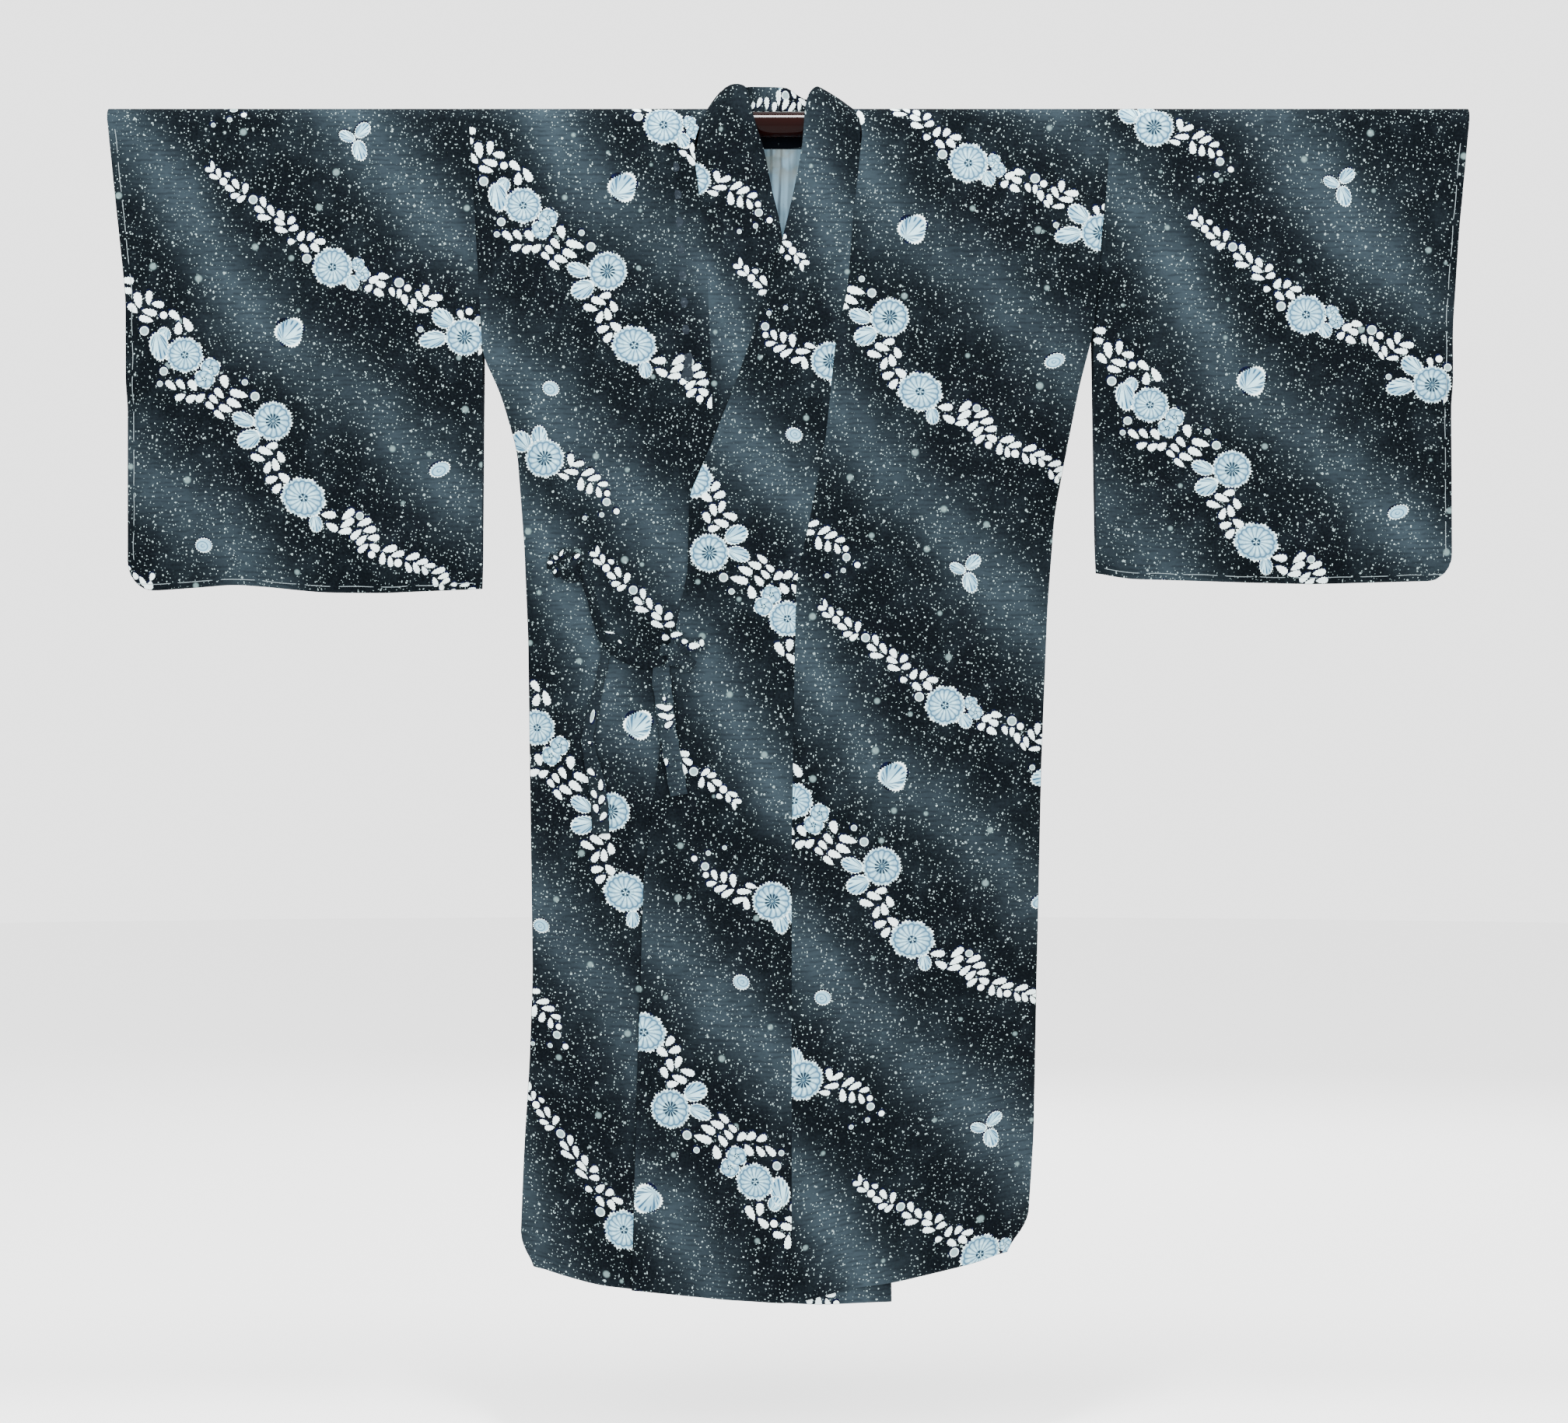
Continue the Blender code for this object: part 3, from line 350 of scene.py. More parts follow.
KNOT_LEAVES: dict[str, dict[int, Rows]] = {
    "knot_side": {0: ((1.0, 17.0, 9.0, 4.0, 95), (-5.0, 12.0, 6.0, 4.0, 60)),
                  1: ((2.0, 12.0, 7.0, 4.5, 40),),
                  2: ((0.0, 13.0, 6.0, 4.0, 120),), 3: ((1.0, 9.0, 8.0, 4.5, 80),)},
    "knot_edge": {0: ((0.5, 13.0, 12.0, 8.0, 20),),
                  1: ((0.0, 14.0, 11.0, 8.0, 80), (1.0, 24.0, 10.0, 8.0, 110)),
                  2: ((-1.0, 11.0, 8.0, 6.0, 60),)},
}


def ramp(value: Array, start: float, end: float) -> Array:
    """Rise smoothly from 0 at start to 1 at end.

    Args:
        value: Places to read.
        start: Where the rise starts.
        end: Where it ends.

    Returns:
        The height at each place, from 0 to 1.
    """
    share = np.clip((np.asarray(value, dtype=float) - start) / (end - start), 0.0, 1.0)
    return share * share * (3.0 - 2.0 * share)


def read(table: Rows, at: Array, blur: float = 0.0) -> Array:
    """Read the second column of a table at values of its first.

    Args:
        table: Rows in rising order of their first column.
        at: Places to read.
        blur: How far to each side the values are averaged, which rounds the table's corners.

    Returns:
        The value at each place.
    """
    places = np.array([row[0] for row in table])
    values = np.array([row[1] for row in table])
    at = np.asarray(at, dtype=float)
    if blur == 0.0:
        return np.interp(at, places, values)
    shifts = np.linspace(-blur, blur, 5)
    return sum(np.interp(at + shift, places, values) for shift in shifts) / len(shifts)


def beside_line(x: Array, y: Array, start: Sequence[float],
                end: Sequence[float]) -> tuple[Array, Array, Array]:
    """Compare places with a line.

    Args:
        x: Places across.
        y: Places up or down.
        start: Start of the line.
        end: End of the line.

    Returns:
        How far along the line the nearest point lies, from 0 to 1, and the gaps from it in x and y.
    """
    run_x, run_y = end[0] - start[0], end[1] - start[1]
    share = ((x - start[0]) * run_x + (y - start[1]) * run_y) / (run_x ** 2 + run_y ** 2)
    share = np.clip(share, 0.0, 1.0)
    return share, x - start[0] - run_x * share, y - start[1] - run_y * share


def relief(folds: Sequence[Fold], x: Array, z: Array) -> Array:
    """Add up the folds' heights.

    Args:
        folds: Ridges and troughs.
        x: Places across.
        z: Heights.

    Returns:
        How far the cloth stands out at each place.
    """
    total = np.zeros_like(np.asarray(x, dtype=float) + z)
    for fold in folds:
        _, gap_x, gap_z = beside_line(x, z, (fold.x_top, fold.z_top), (fold.x_foot, fold.z_foot))
        total += fold.height * np.exp(-(gap_x ** 2 + gap_z ** 2) / fold.width ** 2)
    return total


def closed_depth(depth: Array, edge_distance: Array, amount: Array) -> Array:
    """Roll a wall in towards the wall behind it at a sewn edge.

    Args:
        depth: The wall's depth without the roll.
        edge_distance: Distance from the sewn edge.
        amount: How far the edge is closed, from 0 to 1.

    Returns:
        The rolled depth.
    """
    edge = CLOTH + SEAM / 2
    turn = np.sin(np.clip(edge_distance / EDGE_ROLL, 0.0, 1.0) * math.pi / 2)
    return depth + (edge + (depth - edge) * turn - depth) * amount


def drop_of(path: Array) -> Array:
    """Drop below the rod's axis at a path, below zero where the cloth bends over the rod."""
    path = np.asarray(path, dtype=float)
    over = -OVER_ROD * np.cos(path / OVER_ROD)
    return np.where(np.abs(path) <= QUARTER_TURN, over, np.abs(path) - QUARTER_TURN)


def over_rod(x: Array, path: Array) -> Array:
    """Points of cloth that bends over the rod."""
    angle = path / OVER_ROD
    return np.stack([x, OVER_ROD * np.sin(angle), OVER_ROD * np.cos(angle)], axis=-1)


def smooth_row(points: Array, at: Array) -> Array:
    """Read a row of points at fractions of a station, on a smooth line."""
    index = np.clip(np.floor(at).astype(int), 0, len(points) - 2)
    t = (at - index)[:, None]
    before = points[np.maximum(index - 1, 0)]
    start, end = points[index], points[index + 1]
    after = points[np.minimum(index + 2, len(points) - 1)]
    bend = (end - before) * t + (before * 2.0 - start * 5.0 + end * 4.0 - after) * t ** 2
    bend = bend + (start * 3.0 - before - end * 3.0 + after) * t ** 3
    return start + bend * 0.5


def lengths_along(line: Array) -> Array:
    """Length along a line at each of its points."""
    return np.concatenate([[0.0], np.cumsum(np.linalg.norm(np.diff(line, axis=0), axis=1))])


def in_scene(name: str, data: bpy.types.ID) -> bpy.types.Object:
    """Put a mesh, a light or a camera into the scene under a name."""
    item = bpy.data.objects.new(name, data)
    bpy.context.scene.collection.objects.link(item)
    return item


class Kind(Enum):
    """What a printed shape shows, in the order in which the shapes lie on each other."""

    # Navy ink under each shape; one such patch at the collar's foot is a painted shadow.
    HALO = 1
    LEAF = 2
    DISC = 3
    LOBE = 4
    BLOSSOM = 5
    BUD = 6
    FAN = 7
    MUM = 8
    WHEEL = 9
    PEARL = 10


# How far the navy ink under a shape is printed to the left and up, and how much wider it is.
HALO_LEFT, HALO_UP, HALO_WIDER = 0.0005, 0.0009, 0.0022
# How each kind's edge is cut: number of teeth, their depth, number of scallops and their depth.
STENCIL: dict[Kind, tuple[int, float, int, float]] = {
    Kind.DISC: (0, 0.0, 7, 0.03), Kind.PEARL: (0, 0.0, 5, 0.03), Kind.LOBE: (20, 0.065, 3, 0.03),
    Kind.BLOSSOM: (20, 0.05, 5, 0.09), Kind.BUD: (20, 0.07, 2, 0.03), Kind.FAN: (32, 0.06, 3, 0.12),
    Kind.MUM: (36, 0.048, 9, 0.05), Kind.WHEEL: (38, 0.05, 11, 0.03), Kind.HALO: (0, 0.0, 5, 0.08),
}


class Shape(NamedTuple):
    """A printed shape on the chart: its middle, length, width and lean in degrees."""

    kind: Kind
    x: float
    y: float
    long: float
    wide: float
    lean: float


class Sprig(NamedTuple):
    """Shapes that are placed together, and the point of the chart that they are placed by."""

    x: float
    y: float
    shapes: tuple[Shape, ...]


class Place(NamedTuple):
    """Where a sprig is printed on a panel, how it slants and tilts and whether it is turned round."""

    sprig: str
    x: float
    y: float
    slant: float = 0.0
    turned: bool = False
    tilt: float = 0.0


def sprig(x: float, y: float, **rows: Rows) -> Sprig:
    """Gather the shapes of a sprig.

    Args:
        x: Squares to the right on the chart of the point that the sprig is placed by.
        y: Squares down.
        rows: Under each kind, rows of middle, length, width and lean, or of middle and radius.

    Returns:
        The sprig.
    """
    shapes = []
    for kind, group in rows.items():
        for row in group:
            full = row if len(row) == 5 else (*row[:2], 2.0 * row[2], 2.0 * row[2], 0.0)
            shapes.append(Shape(Kind[kind], *full))
    return Sprig(x, y, tuple(shapes))


SPRIGS: dict[str, Sprig] = {
    "garland": sprig(427.0, 343.0, LEAF=(
        (273, 212, 12, 7, 80), (269, 218, 12, 8, 190), (281, 222, 13, 8, 255), (275, 227, 14, 8, 200),
        (292, 224, 9, 8, 20), (303, 236, 15, 10, 240), (295, 242, 14, 10, 205), (302, 251, 13, 9, 165),
        (310, 255, 14, 9, 145), (315, 242, 15, 10, 280), (338, 259, 15, 10, 255), (333, 269, 15, 10, 210),
        (348, 270, 16, 10, 245), (339, 279, 19, 10, 185), (361, 276, 14, 11, 240),
        (374, 283, 13, 11, -45), (359, 285, 16, 10, 205), (377, 293, 14, 10, -20),
        (361, 295, 18, 10, 195), (387, 303, 15, 11, 120), (374, 310, 10, 10, 180),
        (399, 304, 13, 11, -50), (411, 310, 16, 10, 5), (391, 319, 15, 11, 220), (405, 318, 15, 12, 225),
        (481, 359, 16, 11, 150), (493, 355, 15, 11, 190), (489, 365, 15, 11, 20), (474, 370, 12, 11, 140),
        (487, 376, 15, 12, 210), (504, 375, 13, 9, 250), (513, 377, 13, 8, 275), (520, 385, 15, 11, 260),
        (528, 396, 12, 7, 240), (532, 390, 15, 9, 255), (539, 381, 17, 10, 245), (547, 373, 16, 11, 275),
        (560, 382, 20, 11, 3), (553, 390, 20, 10, 5), (543, 399, 17, 8, -5), (592, 404, 13, 10, 250),
        (617, 452, 10, 6, -65),
    ), PEARL=((287, 233, 4.9), (524, 370, 4.6), (603, 400, 4.5)),
        DISC=((325, 256, 5.7), (394, 332, 6), (513, 363, 6.2), (615, 411, 5), (540, 423, 3.8)),
        LOBE=((453, 363, 20, 18, 60), (569, 409, 31, 23, 215), (556, 436, 36, 22, 170)),
        BLOSSOM=((466, 352, 19, 18, 0), (460, 340, 18, 17, 40)), MUM=((427, 343, 50, 50, 0),),
        WHEEL=((597, 433, 49, 47, 0),)),
    "festoon": sprig(350.0, 540.5, LEAF=(
        (164, 360, 17, 12, 5), (163, 373, 14, 11, 10), (177, 385, 22, 14, 260), (191, 382, 19, 11.5, 275),
        (203, 391, 17, 11.5, 8), (170, 396, 17, 12, 225), (192, 401, 21, 11.5, 15),
        (187, 410, 20, 11, 195), (224, 405, 18, 12, 220), (229, 422, 17, 13, 95), (241, 417, 21, 13, 60),
        (288, 490, 18, 14, 255), (219, 495, 18, 11, 222), (232, 494, 16, 11, 230),
        (247, 495, 17, 12, 235), (231, 510, 15, 11, 155), (245, 512, 15, 12, 145),
        (257, 511, 15, 12, 140), (281, 505, 17, 11, 230), (274, 513, 15, 10, 225),
        (269, 521, 13.5, 9.5, 220), (281, 533, 17, 10, 220), (289, 525, 19, 12, 200),
        (300, 518, 21, 13, 205), (306, 506, 25, 13, 195), (349, 572, 16, 11, -10),
        (340, 579, 21, 12, 200), (330, 588, 20, 11.5, 195), (360, 586, 16, 12, 65),
        (353, 596, 17, 12, 75), (343, 600, 17, 11, 110), (364, 612, 17, 13, 35), (348, 615, 17, 12, 160),
        (355, 626, 16, 12, 130), (422, 656, 20, 12, 0), (426, 671, 18, 12, 30), (447, 655, 21, 11.5, -38),
        (446, 666, 21, 11, -30), (443, 676, 18.5, 10.5, -10), (468, 665, 20.5, 10.5, -22),
        (475, 674, 18, 11, -10), (457, 680, 19, 10.5, 138), (464, 687, 17.5, 10.5, 138),
        (480, 684, 16.5, 10.5, -5), (466, 697, 17, 10, 142), (481, 696, 15, 12, 30),
        (501, 698, 20, 11.5, -12), (511, 705, 18.5, 10, -12), (491, 710, 16.5, 10.5, 95),
        (501, 714, 15, 9, 85), (530, 709, 19.5, 10.5, -15), (542, 716, 17, 9.5, -10),
        (524, 722, 15.5, 9.5, 65), (534, 723, 15.5, 9.5, 70), (552, 721, 15.5, 8, 0),
        (545, 727, 13, 9, 60), (563, 728, 19.5, 9.5, -15), (569, 735, 16, 8.5, -20),
        (558, 742, 13.5, 9, 75), (572, 741, 12.5, 8, -25), (566, 748, 10.5, 8, 90), (582, 746, 9, 6.5, 0),
        (596, 747, 14, 6.5, -10), (581, 754, 8, 6, 0), (605, 753, 12, 6, 0),
    ), PEARL=((210, 405, 4.8), (477, 705, 4.5), (511, 716, 5)), DISC=(
        (185, 425, 6), (210, 477, 5.5), (205, 493, 3.8), (327, 509, 5.8), (314, 491, 4), (462, 657, 5),
    ), LOBE=(
        (204, 445, 37, 24, 80), (210, 430, 20, 18, 120), (312, 539, 30, 19, 200), (319, 564, 31, 24, 155),
        (405, 667, 23, 17, 80),
    ), BLOSSOM=((262, 487, 26, 24, 20), (270, 472, 25, 24, 0)),
        MUM=((237, 456, 47, 45, 10), (389, 636, 57, 49, 10)), WHEEL=((350, 540.5, 49, 49, 0),)),
    "spray": sprig(1483.6, 167.6, LEAF=(
        (1517, 165, 17.5, 11, 260), (1527, 169, 17.5, 9.5, -20), (1520, 180, 20, 9.5, 0),
        (1511, 187, 15.5, 8.7, 15), (1541, 178, 19, 10, -30), (1550, 184, 18.7, 10, -22),
        (1534, 194, 18, 11.4, 85), (1546, 198, 15.4, 10.7, 90), (1558, 201, 14.7, 9.4, 70),
        (1562, 190, 14, 8.7, -10),
    ), PEARL=((1569, 201, 3.8), (1584, 222, 3.8)),
        DISC=((1570, 212, 5.2), (1566, 229, 3.3), (1545, 236, 3)),
        LOBE=((1451, 150, 29, 26, 220), (1473, 141, 28, 21, 260)), WHEEL=((1483.6, 167.6, 50, 49, 0),)),
    "fan": sprig(372.0, 426.5, FAN=((372, 426.5, 37, 35, -48),)),
    "trefoil": sprig(461.0, 180.0, LOBE=(
        (446, 175, 22, 14, 205), (466, 167, 23, 17, -45), (462, 193, 27, 19, 75),
    )),
    "neck_leaves": sprig(885.0, 196.0, LEAF=(
        (882, 187, 11, 10, 200), (878, 196, 12, 9, 30), (890, 189, 13, 8, 90), (888, 205, 19, 9, 55),
        (892, 199, 15, 6, 55),
    )),
    "seam_leaf": sprig(1106.0, 149.0, LEAF=((1106, 149, 24, 13, 80),)),
    "cuff_leaves": sprig(183.0, 745.0, LEAF=(
        (172, 740, 10, 9, 60), (181, 746, 14, 9, 60), (194, 740, 11, 9, -60), (191, 751, 12, 10, 100),
        (186, 752, 10, 9, 60), (163, 730, 8, 5, 50), (165, 743, 10, 4, 60), (173, 751, 10, 4, 40),
    )),
    "bud": sprig(261.0, 700.0, BUD=((261, 700, 22, 18, 15),)),
    "long_bud": sprig(565.0, 601.0, BUD=((565, 601, 27, 18, -20),)),
}

# The smoky bands of one repeat, from the garland's flower: middle line, half width, strength.
SMOKE_LINES: tuple[Rows, ...] = (
    (
        (-300, -215, 30, 0.6), (-215, -120, 34, 0.75), (-140, 5, 34, 0.75), (-95, 80, 38, 0.65),
        (-10, 130, 40, 0.45), (70, 200, 36, 0.55), (140, 270, 38, 0.8), (195, 320, 36, 0.6),
        (250, 400, 24, 0.2),
    ),
    (
        (-330, 160, 30, 0.3), (-235, 270, 38, 0.7), (-150, 345, 42, 0.75), (-60, 440, 38, 0.5),
        (40, 545, 44, 0.7), (125, 640, 42, 0.75), (200, 710, 30, 0.3),
    ),
)

# Leaves inside the back of the collar, in rows of X, Y, length, width and lean.
COLLAR_LEAVES: Rows = (
    (972, 129, 15, 9, 100), (983, 127, 17, 9, 80), (994, 131, 14, 9, 95), (1001, 120, 24, 12, 80),
    (1012, 128, 18, 10, 60), (1021, 133, 17, 9, 40), (1033, 134, 14, 8, 60), (964, 136, 10, 7, 90),
)

PRINTS: dict[str, tuple[Place, ...]] = {
    "sleeve_right": (
        Place("garland", 427, 343), Place("festoon", 350, 540.5), Place("spray", 212.6, 92),
        Place("fan", 372, 426.5), Place("trefoil", 461, 180), Place("bud", 261, 700),
        Place("long_bud", 565, 601), Place("cuff_leaves", 182, 741),
    ),
    "sleeve_left": (
        Place("garland", 1680, 404, -0.085), Place("festoon", 1585, 605, -0.085),
        Place("spray", 1484, 163, -0.03), Place("fan", 1611, 489), Place("trefoil", 1727, 239),
        Place("bud", 1499, 762), Place("long_bud", 1799, 662),
    ),
    "body_right": (
        Place("garland", 853, 160, -0.05), Place("festoon", 781, 348, -0.05),
        Place("spray", 700, 589, tilt=0.14), Place("fan", 801, 240), Place("bud", 708, 499),
        Place("garland", 904, 860, tilt=0.14),
        Place("fan", 821, 932), Place("festoon", 785, 1044, tilt=0.21), Place("bud", 695, 1191),
        Place("spray", 643, 1262, tilt=0.30), Place("garland", 802, 1582, tilt=0.24),
        Place("neck_leaves", 885, 196),
    ),
    "body_left": (
        Place("garland", 1245, 209), Place("fan", 1174, 294), Place("festoon", 1144, 408),
        Place("long_bud", 1356, 464), Place("spray", 1002, 672), Place("trefoil", 1246, 736),
        Place("garland", 1215, 907), Place("fan", 1149, 998), Place("festoon", 1134, 1114),
        Place("bud", 1058, 1283), Place("long_bud", 1340, 1160), Place("spray", 1033, 1389),
        Place("trefoil", 1273, 1451), Place("garland", 1260, 1613),
        Place("seam_leaf", 1106, 149),
    ),
    "band_left": (
        Place("garland", 890, 212, -0.1, True), Place("spray", 1068, 464, -0.05, True),
        Place("bud", 1021, 559, 0.0, True), Place("festoon", 912, 711, -0.15, True),
        Place("garland", 790, 905, 0.0, True), Place("spray", 993, 1159, 0.0, True),
        Place("bud", 953, 1263, 0.0, True), Place("festoon", 862, 1426, -0.05, True),
        Place("fan", 832, 1542, 0.0, True), Place("garland", 768, 1630, 0.0, True),
    ),
    "band_right": (
        Place("spray", 889, 228), Place("garland", 1106, 467), Place("festoon", 880, 800),
        Place("garland", 1000, 1050), Place("festoon", 930, 1290), Place("spray", 990, 1640),
    ),
}


@dataclass(frozen=True)
class InkShape:
    """A printed shape on a panel, in the panel's flat metres."""

    kind: Kind
    x: float
    path: float
    long: float
    wide: float
    turn: float

    def outline(self) -> list[Pair]:
        """Edge of the shape, with the small teeth that the dyer's stencil cuts.

        Returns:
            Points of the closed edge.
        """
        if self.kind is Kind.LEAF:
            return self.placed(self.leaf_edge())
        teeth, depth, scallops, wave = STENCIL[self.kind]
        count = max(2 * teeth, 14)
        edge = []
        for step in range(count):
            angle = 2 * math.pi * step / count
            reach = 1.0 + wave * math.cos(scallops * angle + self.long * 900.0)
            if teeth:
                reach += depth * (1.0 if step % 2 else -1.0)
            edge.append((reach * math.cos(angle), reach * math.sin(angle)))
        return self.placed(edge)

    def leaf_edge(self) -> list[Pair]:
        """Edge of a leaf: drawn to a point at its stem, broad and notched towards its tip."""
        edge = []
        for side in (-1.0, 1.0):
            for step in range(10) if side < 0 else range(10, 0, -1):
                share = step / 10
                width = 1.20 * share ** 0.64 * math.sqrt(max(1.0 - share ** 2.6, 0.0))
                notch = (0.12 if step % 2 else -0.08) * (share > 0.25)
                edge.append((share * 1.92 - 1.0, side * (width + notch * (share < 1.0))))
        return edge

    def placed(self, edge: list[Pair]) -> list[Pair]:
        """Carry points from the shape's own measure to the panel."""
        cos, sin = math.cos(self.turn), math.sin(self.turn)
        half_long, half_wide = self.long / 2, self.wide / 2
        return [(self.x + u * half_long * cos - v * half_wide * sin,
                 self.path + u * half_long * sin + v * half_wide * cos) for u, v in edge]

    def own(self, x: Array, path: Array) -> Array:
        """Carry places on the panel back to the shape's own measure, from -1 to 1."""
        cos, sin = math.cos(self.turn), math.sin(self.turn)
        dx, dy = x - self.x, path - self.path
        return np.stack([
            (dx * cos + dy * sin) / (self.long / 2), (-dx * sin + dy * cos) / (self.wide / 2),
        ], axis=-1)

    def halo(self) -> list[Pair]:
        """Edge of the navy ink under the shape, printed a little high and to the left."""
        edge = InkShape(self.kind, self.x - HALO_LEFT, self.path + HALO_UP, self.long + HALO_WIDER,
                        self.wide + HALO_WIDER, self.turn).outline()
        return edge[::2] if len(edge) > 30 else edge


class Print:
    """The print of one panel: its shapes and its smoky bands."""

    def __init__(self, shapes: Sequence[InkShape] = (), origins: Sequence[tuple] = (),
                 smoke: float = 0.0) -> None:
        """Keep the shapes, where the smoke is charted from, and its least strength."""
        self.shapes = sorted(shapes, key=lambda ink: ink.kind.value)
        self.origins = origins
        self.least = smoke

    @classmethod
    def charted(cls, panel: "Panel") -> "Print":
        """Place the charted sprigs on a panel, with the repeats that run on over the shoulder.

        Args:
            panel: The panel, which knows where a place of the chart lies on its flat cloth.

        Returns:
            The print.
        """
        charted = list(PRINTS[panel.node])
        count = max(1, round((max(place.y for place in charted) - REPEAT_TOP) / REPEAT))
        first = [place for place in charted if place.y < REPEAT_FIRST + REPEAT * count]
        for step in (1, 2):
            rise = REPEAT * count * step + (BAND_RISE if isinstance(panel, BandPanel) else 0.0)
            charted += [place._replace(x=place.x - place.slant * SLANT_RUN * step, y=place.y - rise)
                        for place in first]
        found, origins = [], []
        for place in charted:
            sprig = SPRIGS[place.sprig]
            x, path = panel.flat_place(place.x, place.y)
            if place.sprig == "garland":
                origins.append((x, path, place.slant - place.tilt, place.tilt, place.turned))
            sign = -1.0 if place.turned else 1.0
            for shape in sprig.shapes:
                dx, dy = (shape.x - sprig.x) * sign, (shape.y - sprig.y) * sign
                turn = math.radians(-shape.lean) - place.tilt + (math.pi if place.turned else 0.0)
                found.append(InkShape(shape.kind, x + (dx + (place.slant - place.tilt) * dy) * CHART,
                                      path - (dy + place.tilt * dx) * CHART,
                                      shape.long * CHART, shape.wide * CHART, turn))
        if isinstance(panel, BandPanel):
            found += panel.collar_leaves_and_painted_shadow()
        return cls(found, origins)

    def smoke(self, x: Array, path: Array) -> Array:
        """How much of the smoky grey lies on each place of the flat cloth.

        Args:
            x: Places across.
            path: Places along.

        Returns:
            Strengths from 0 to 1.
        """
        total = np.full(len(x), self.least)
        for origin_x, origin_path, slant, tilt, turned in self.origins:
            unit = CHART * (1.0 - slant * tilt) * (-1.0 if turned else 1.0)
            right, fall = (x - origin_x) / unit, (origin_path - path) / unit
            across, down = right - slant * fall, fall - tilt * right
            for line in SMOKE_LINES:
                for start, end in zip(line, line[1:]):
                    share, gap_x, gap_y = beside_line(across, down, start, end)
                    gap = np.hypot(gap_x, gap_y)
                    width = start[2] + (end[2] - start[2]) * share
                    strength = start[3] + (end[3] - start[3]) * share
                    total = np.maximum(total, strength * np.exp(-(gap / width) ** 2))
        return total


class Panel:
    """A piece of cloth: its flat outline and the way it hangs."""

    part: str = ""
    thickness: float = 0.0013
    grid: float = 0.0065
    printed_inside: bool = False
    plain: bool = False
    apart: float = 0.0007

    def __init__(self, half: str) -> None:
        """Name the piece after its part and the wearer's side."""
        self.half = half
        self.sign = 1.0 if half == "left" else -1.0
        self.node = f"{self.part}_{half}"
        self.name = f"{half}_{self.part}_crepe"

    def flat_place(self, chart_x: float, chart_y: float) -> Pair:
        """Find a charted place on the flat cloth, which is drawn a little longer at its bowed hem.

        Args:
            chart_x: Squares to the right on the chart.
            chart_y: Squares down.

        Returns:
            The place across and along.
        """
        x, height = (chart_x - CHART_X) * CHART, (chart_y - CHART_Y) * CHART
        drop = height
        for _ in range(HEM_ROUNDS):
            reach = float(read(FRONT_HEM[self.half], np.array(x))) - BODY_LENGTH
            drop = height - reach * float(ramp(np.array(drop), HEM_BLEND_START, BODY_LENGTH))
        return x, -drop - QUARTER_TURN

    def ends(self) -> Pair:
        """First and last path of the cloth."""
        raise NotImplementedError

    def edges(self, path: Array) -> tuple[Array, Array]:
        """Edge towards the viewer's left and edge towards the viewer's right."""
        raise NotImplementedError

    def hang(self, x: Array, path: Array) -> Array:
        """Points of the outer face, in the model's frame."""
        raise NotImplementedError

    def stations(self) -> Array:
        """Paths along the cloth, close together where it bends over the rod."""
        start, end = self.ends()
        paths = [start]
        while paths[-1] < end - 1e-9:
            near = abs(paths[-1]) < BEND_REACH
            paths.append(paths[-1] + (BEND_STEP if near else self.grid))
        scale = (end - start) / (paths[-1] - start)
        return start + (np.array(paths) - start) * scale

    def with_more(self, extra: Array) -> Array:
        """Add paths to the plain stations, in place of those that are near them."""
        kept = [path for path in Panel.stations(self) if np.min(np.abs(extra - path)) > self.apart]
        return np.sort(np.concatenate([kept, extra]))

    def outline(self) -> Array:
        """Flat outline of the cloth, run round once from its first corner."""
        paths = self.stations()
        low, high = self.edges(paths)
        first, last = (
            np.linspace(low[k], high[k], max(4, int((high[k] - low[k]) / 0.005))) for k in (0, -1)
        )
        rows = [np.stack([first, np.full(len(first), paths[0])], axis=1)]
        rows.append(np.stack([high[1:], paths[1:]], axis=1))
        rows.append(np.stack([last[::-1][1:], np.full(len(last) - 1, paths[-1])], axis=1))
        rows.append(np.stack([low[::-1][1:-1], paths[::-1][1:-1]], axis=1))
        return np.concatenate(rows)

    def inside_points(self, step: float) -> Array:
        """Points on the flat cloth inside its outline, in offset rows.

        Args:
            step: Distance between points.

        Returns:
            The points.
        """
        paths = self.stations()
        every = max(1, round(step / self.grid))
        found = []
        for index, path in enumerate(paths[every:-1:every]):
            low, high = (float(edge[0]) for edge in self.edges(np.array([path])))
            found += [(low + EDGE_MARGIN, path), (high - EDGE_MARGIN, path)]
            x = low + EDGE_MARGIN + step * (0.5 + 0.5 * (index % 2))
            while x < high - EDGE_MARGIN - step * 0.4:
                found.append((x, path))
                x += step
        return np.array(found)

    def facing(self, x: Array, path: Array) -> Array:
        """Outward directions of the outer face."""
        reach = 0.0006
        across = self.hang(x + reach, path) - self.hang(x - reach, path)
        along = self.hang(x, path + reach) - self.hang(x, path - reach)
        normal = np.cross(across, along)
        return normal / np.maximum(np.linalg.norm(normal, axis=1, keepdims=True), 1e-12)

    def flat_size(self) -> Triple:
        """Width and length of the flat cloth, and its area."""
        edge = self.outline()
        x, y = edge[:, 0], edge[:, 1]
        area = abs(np.dot(x, np.roll(y, -1)) - np.dot(y, np.roll(x, -1))) / 2
        return float(np.ptp(x)), float(np.ptp(y)), float(area)


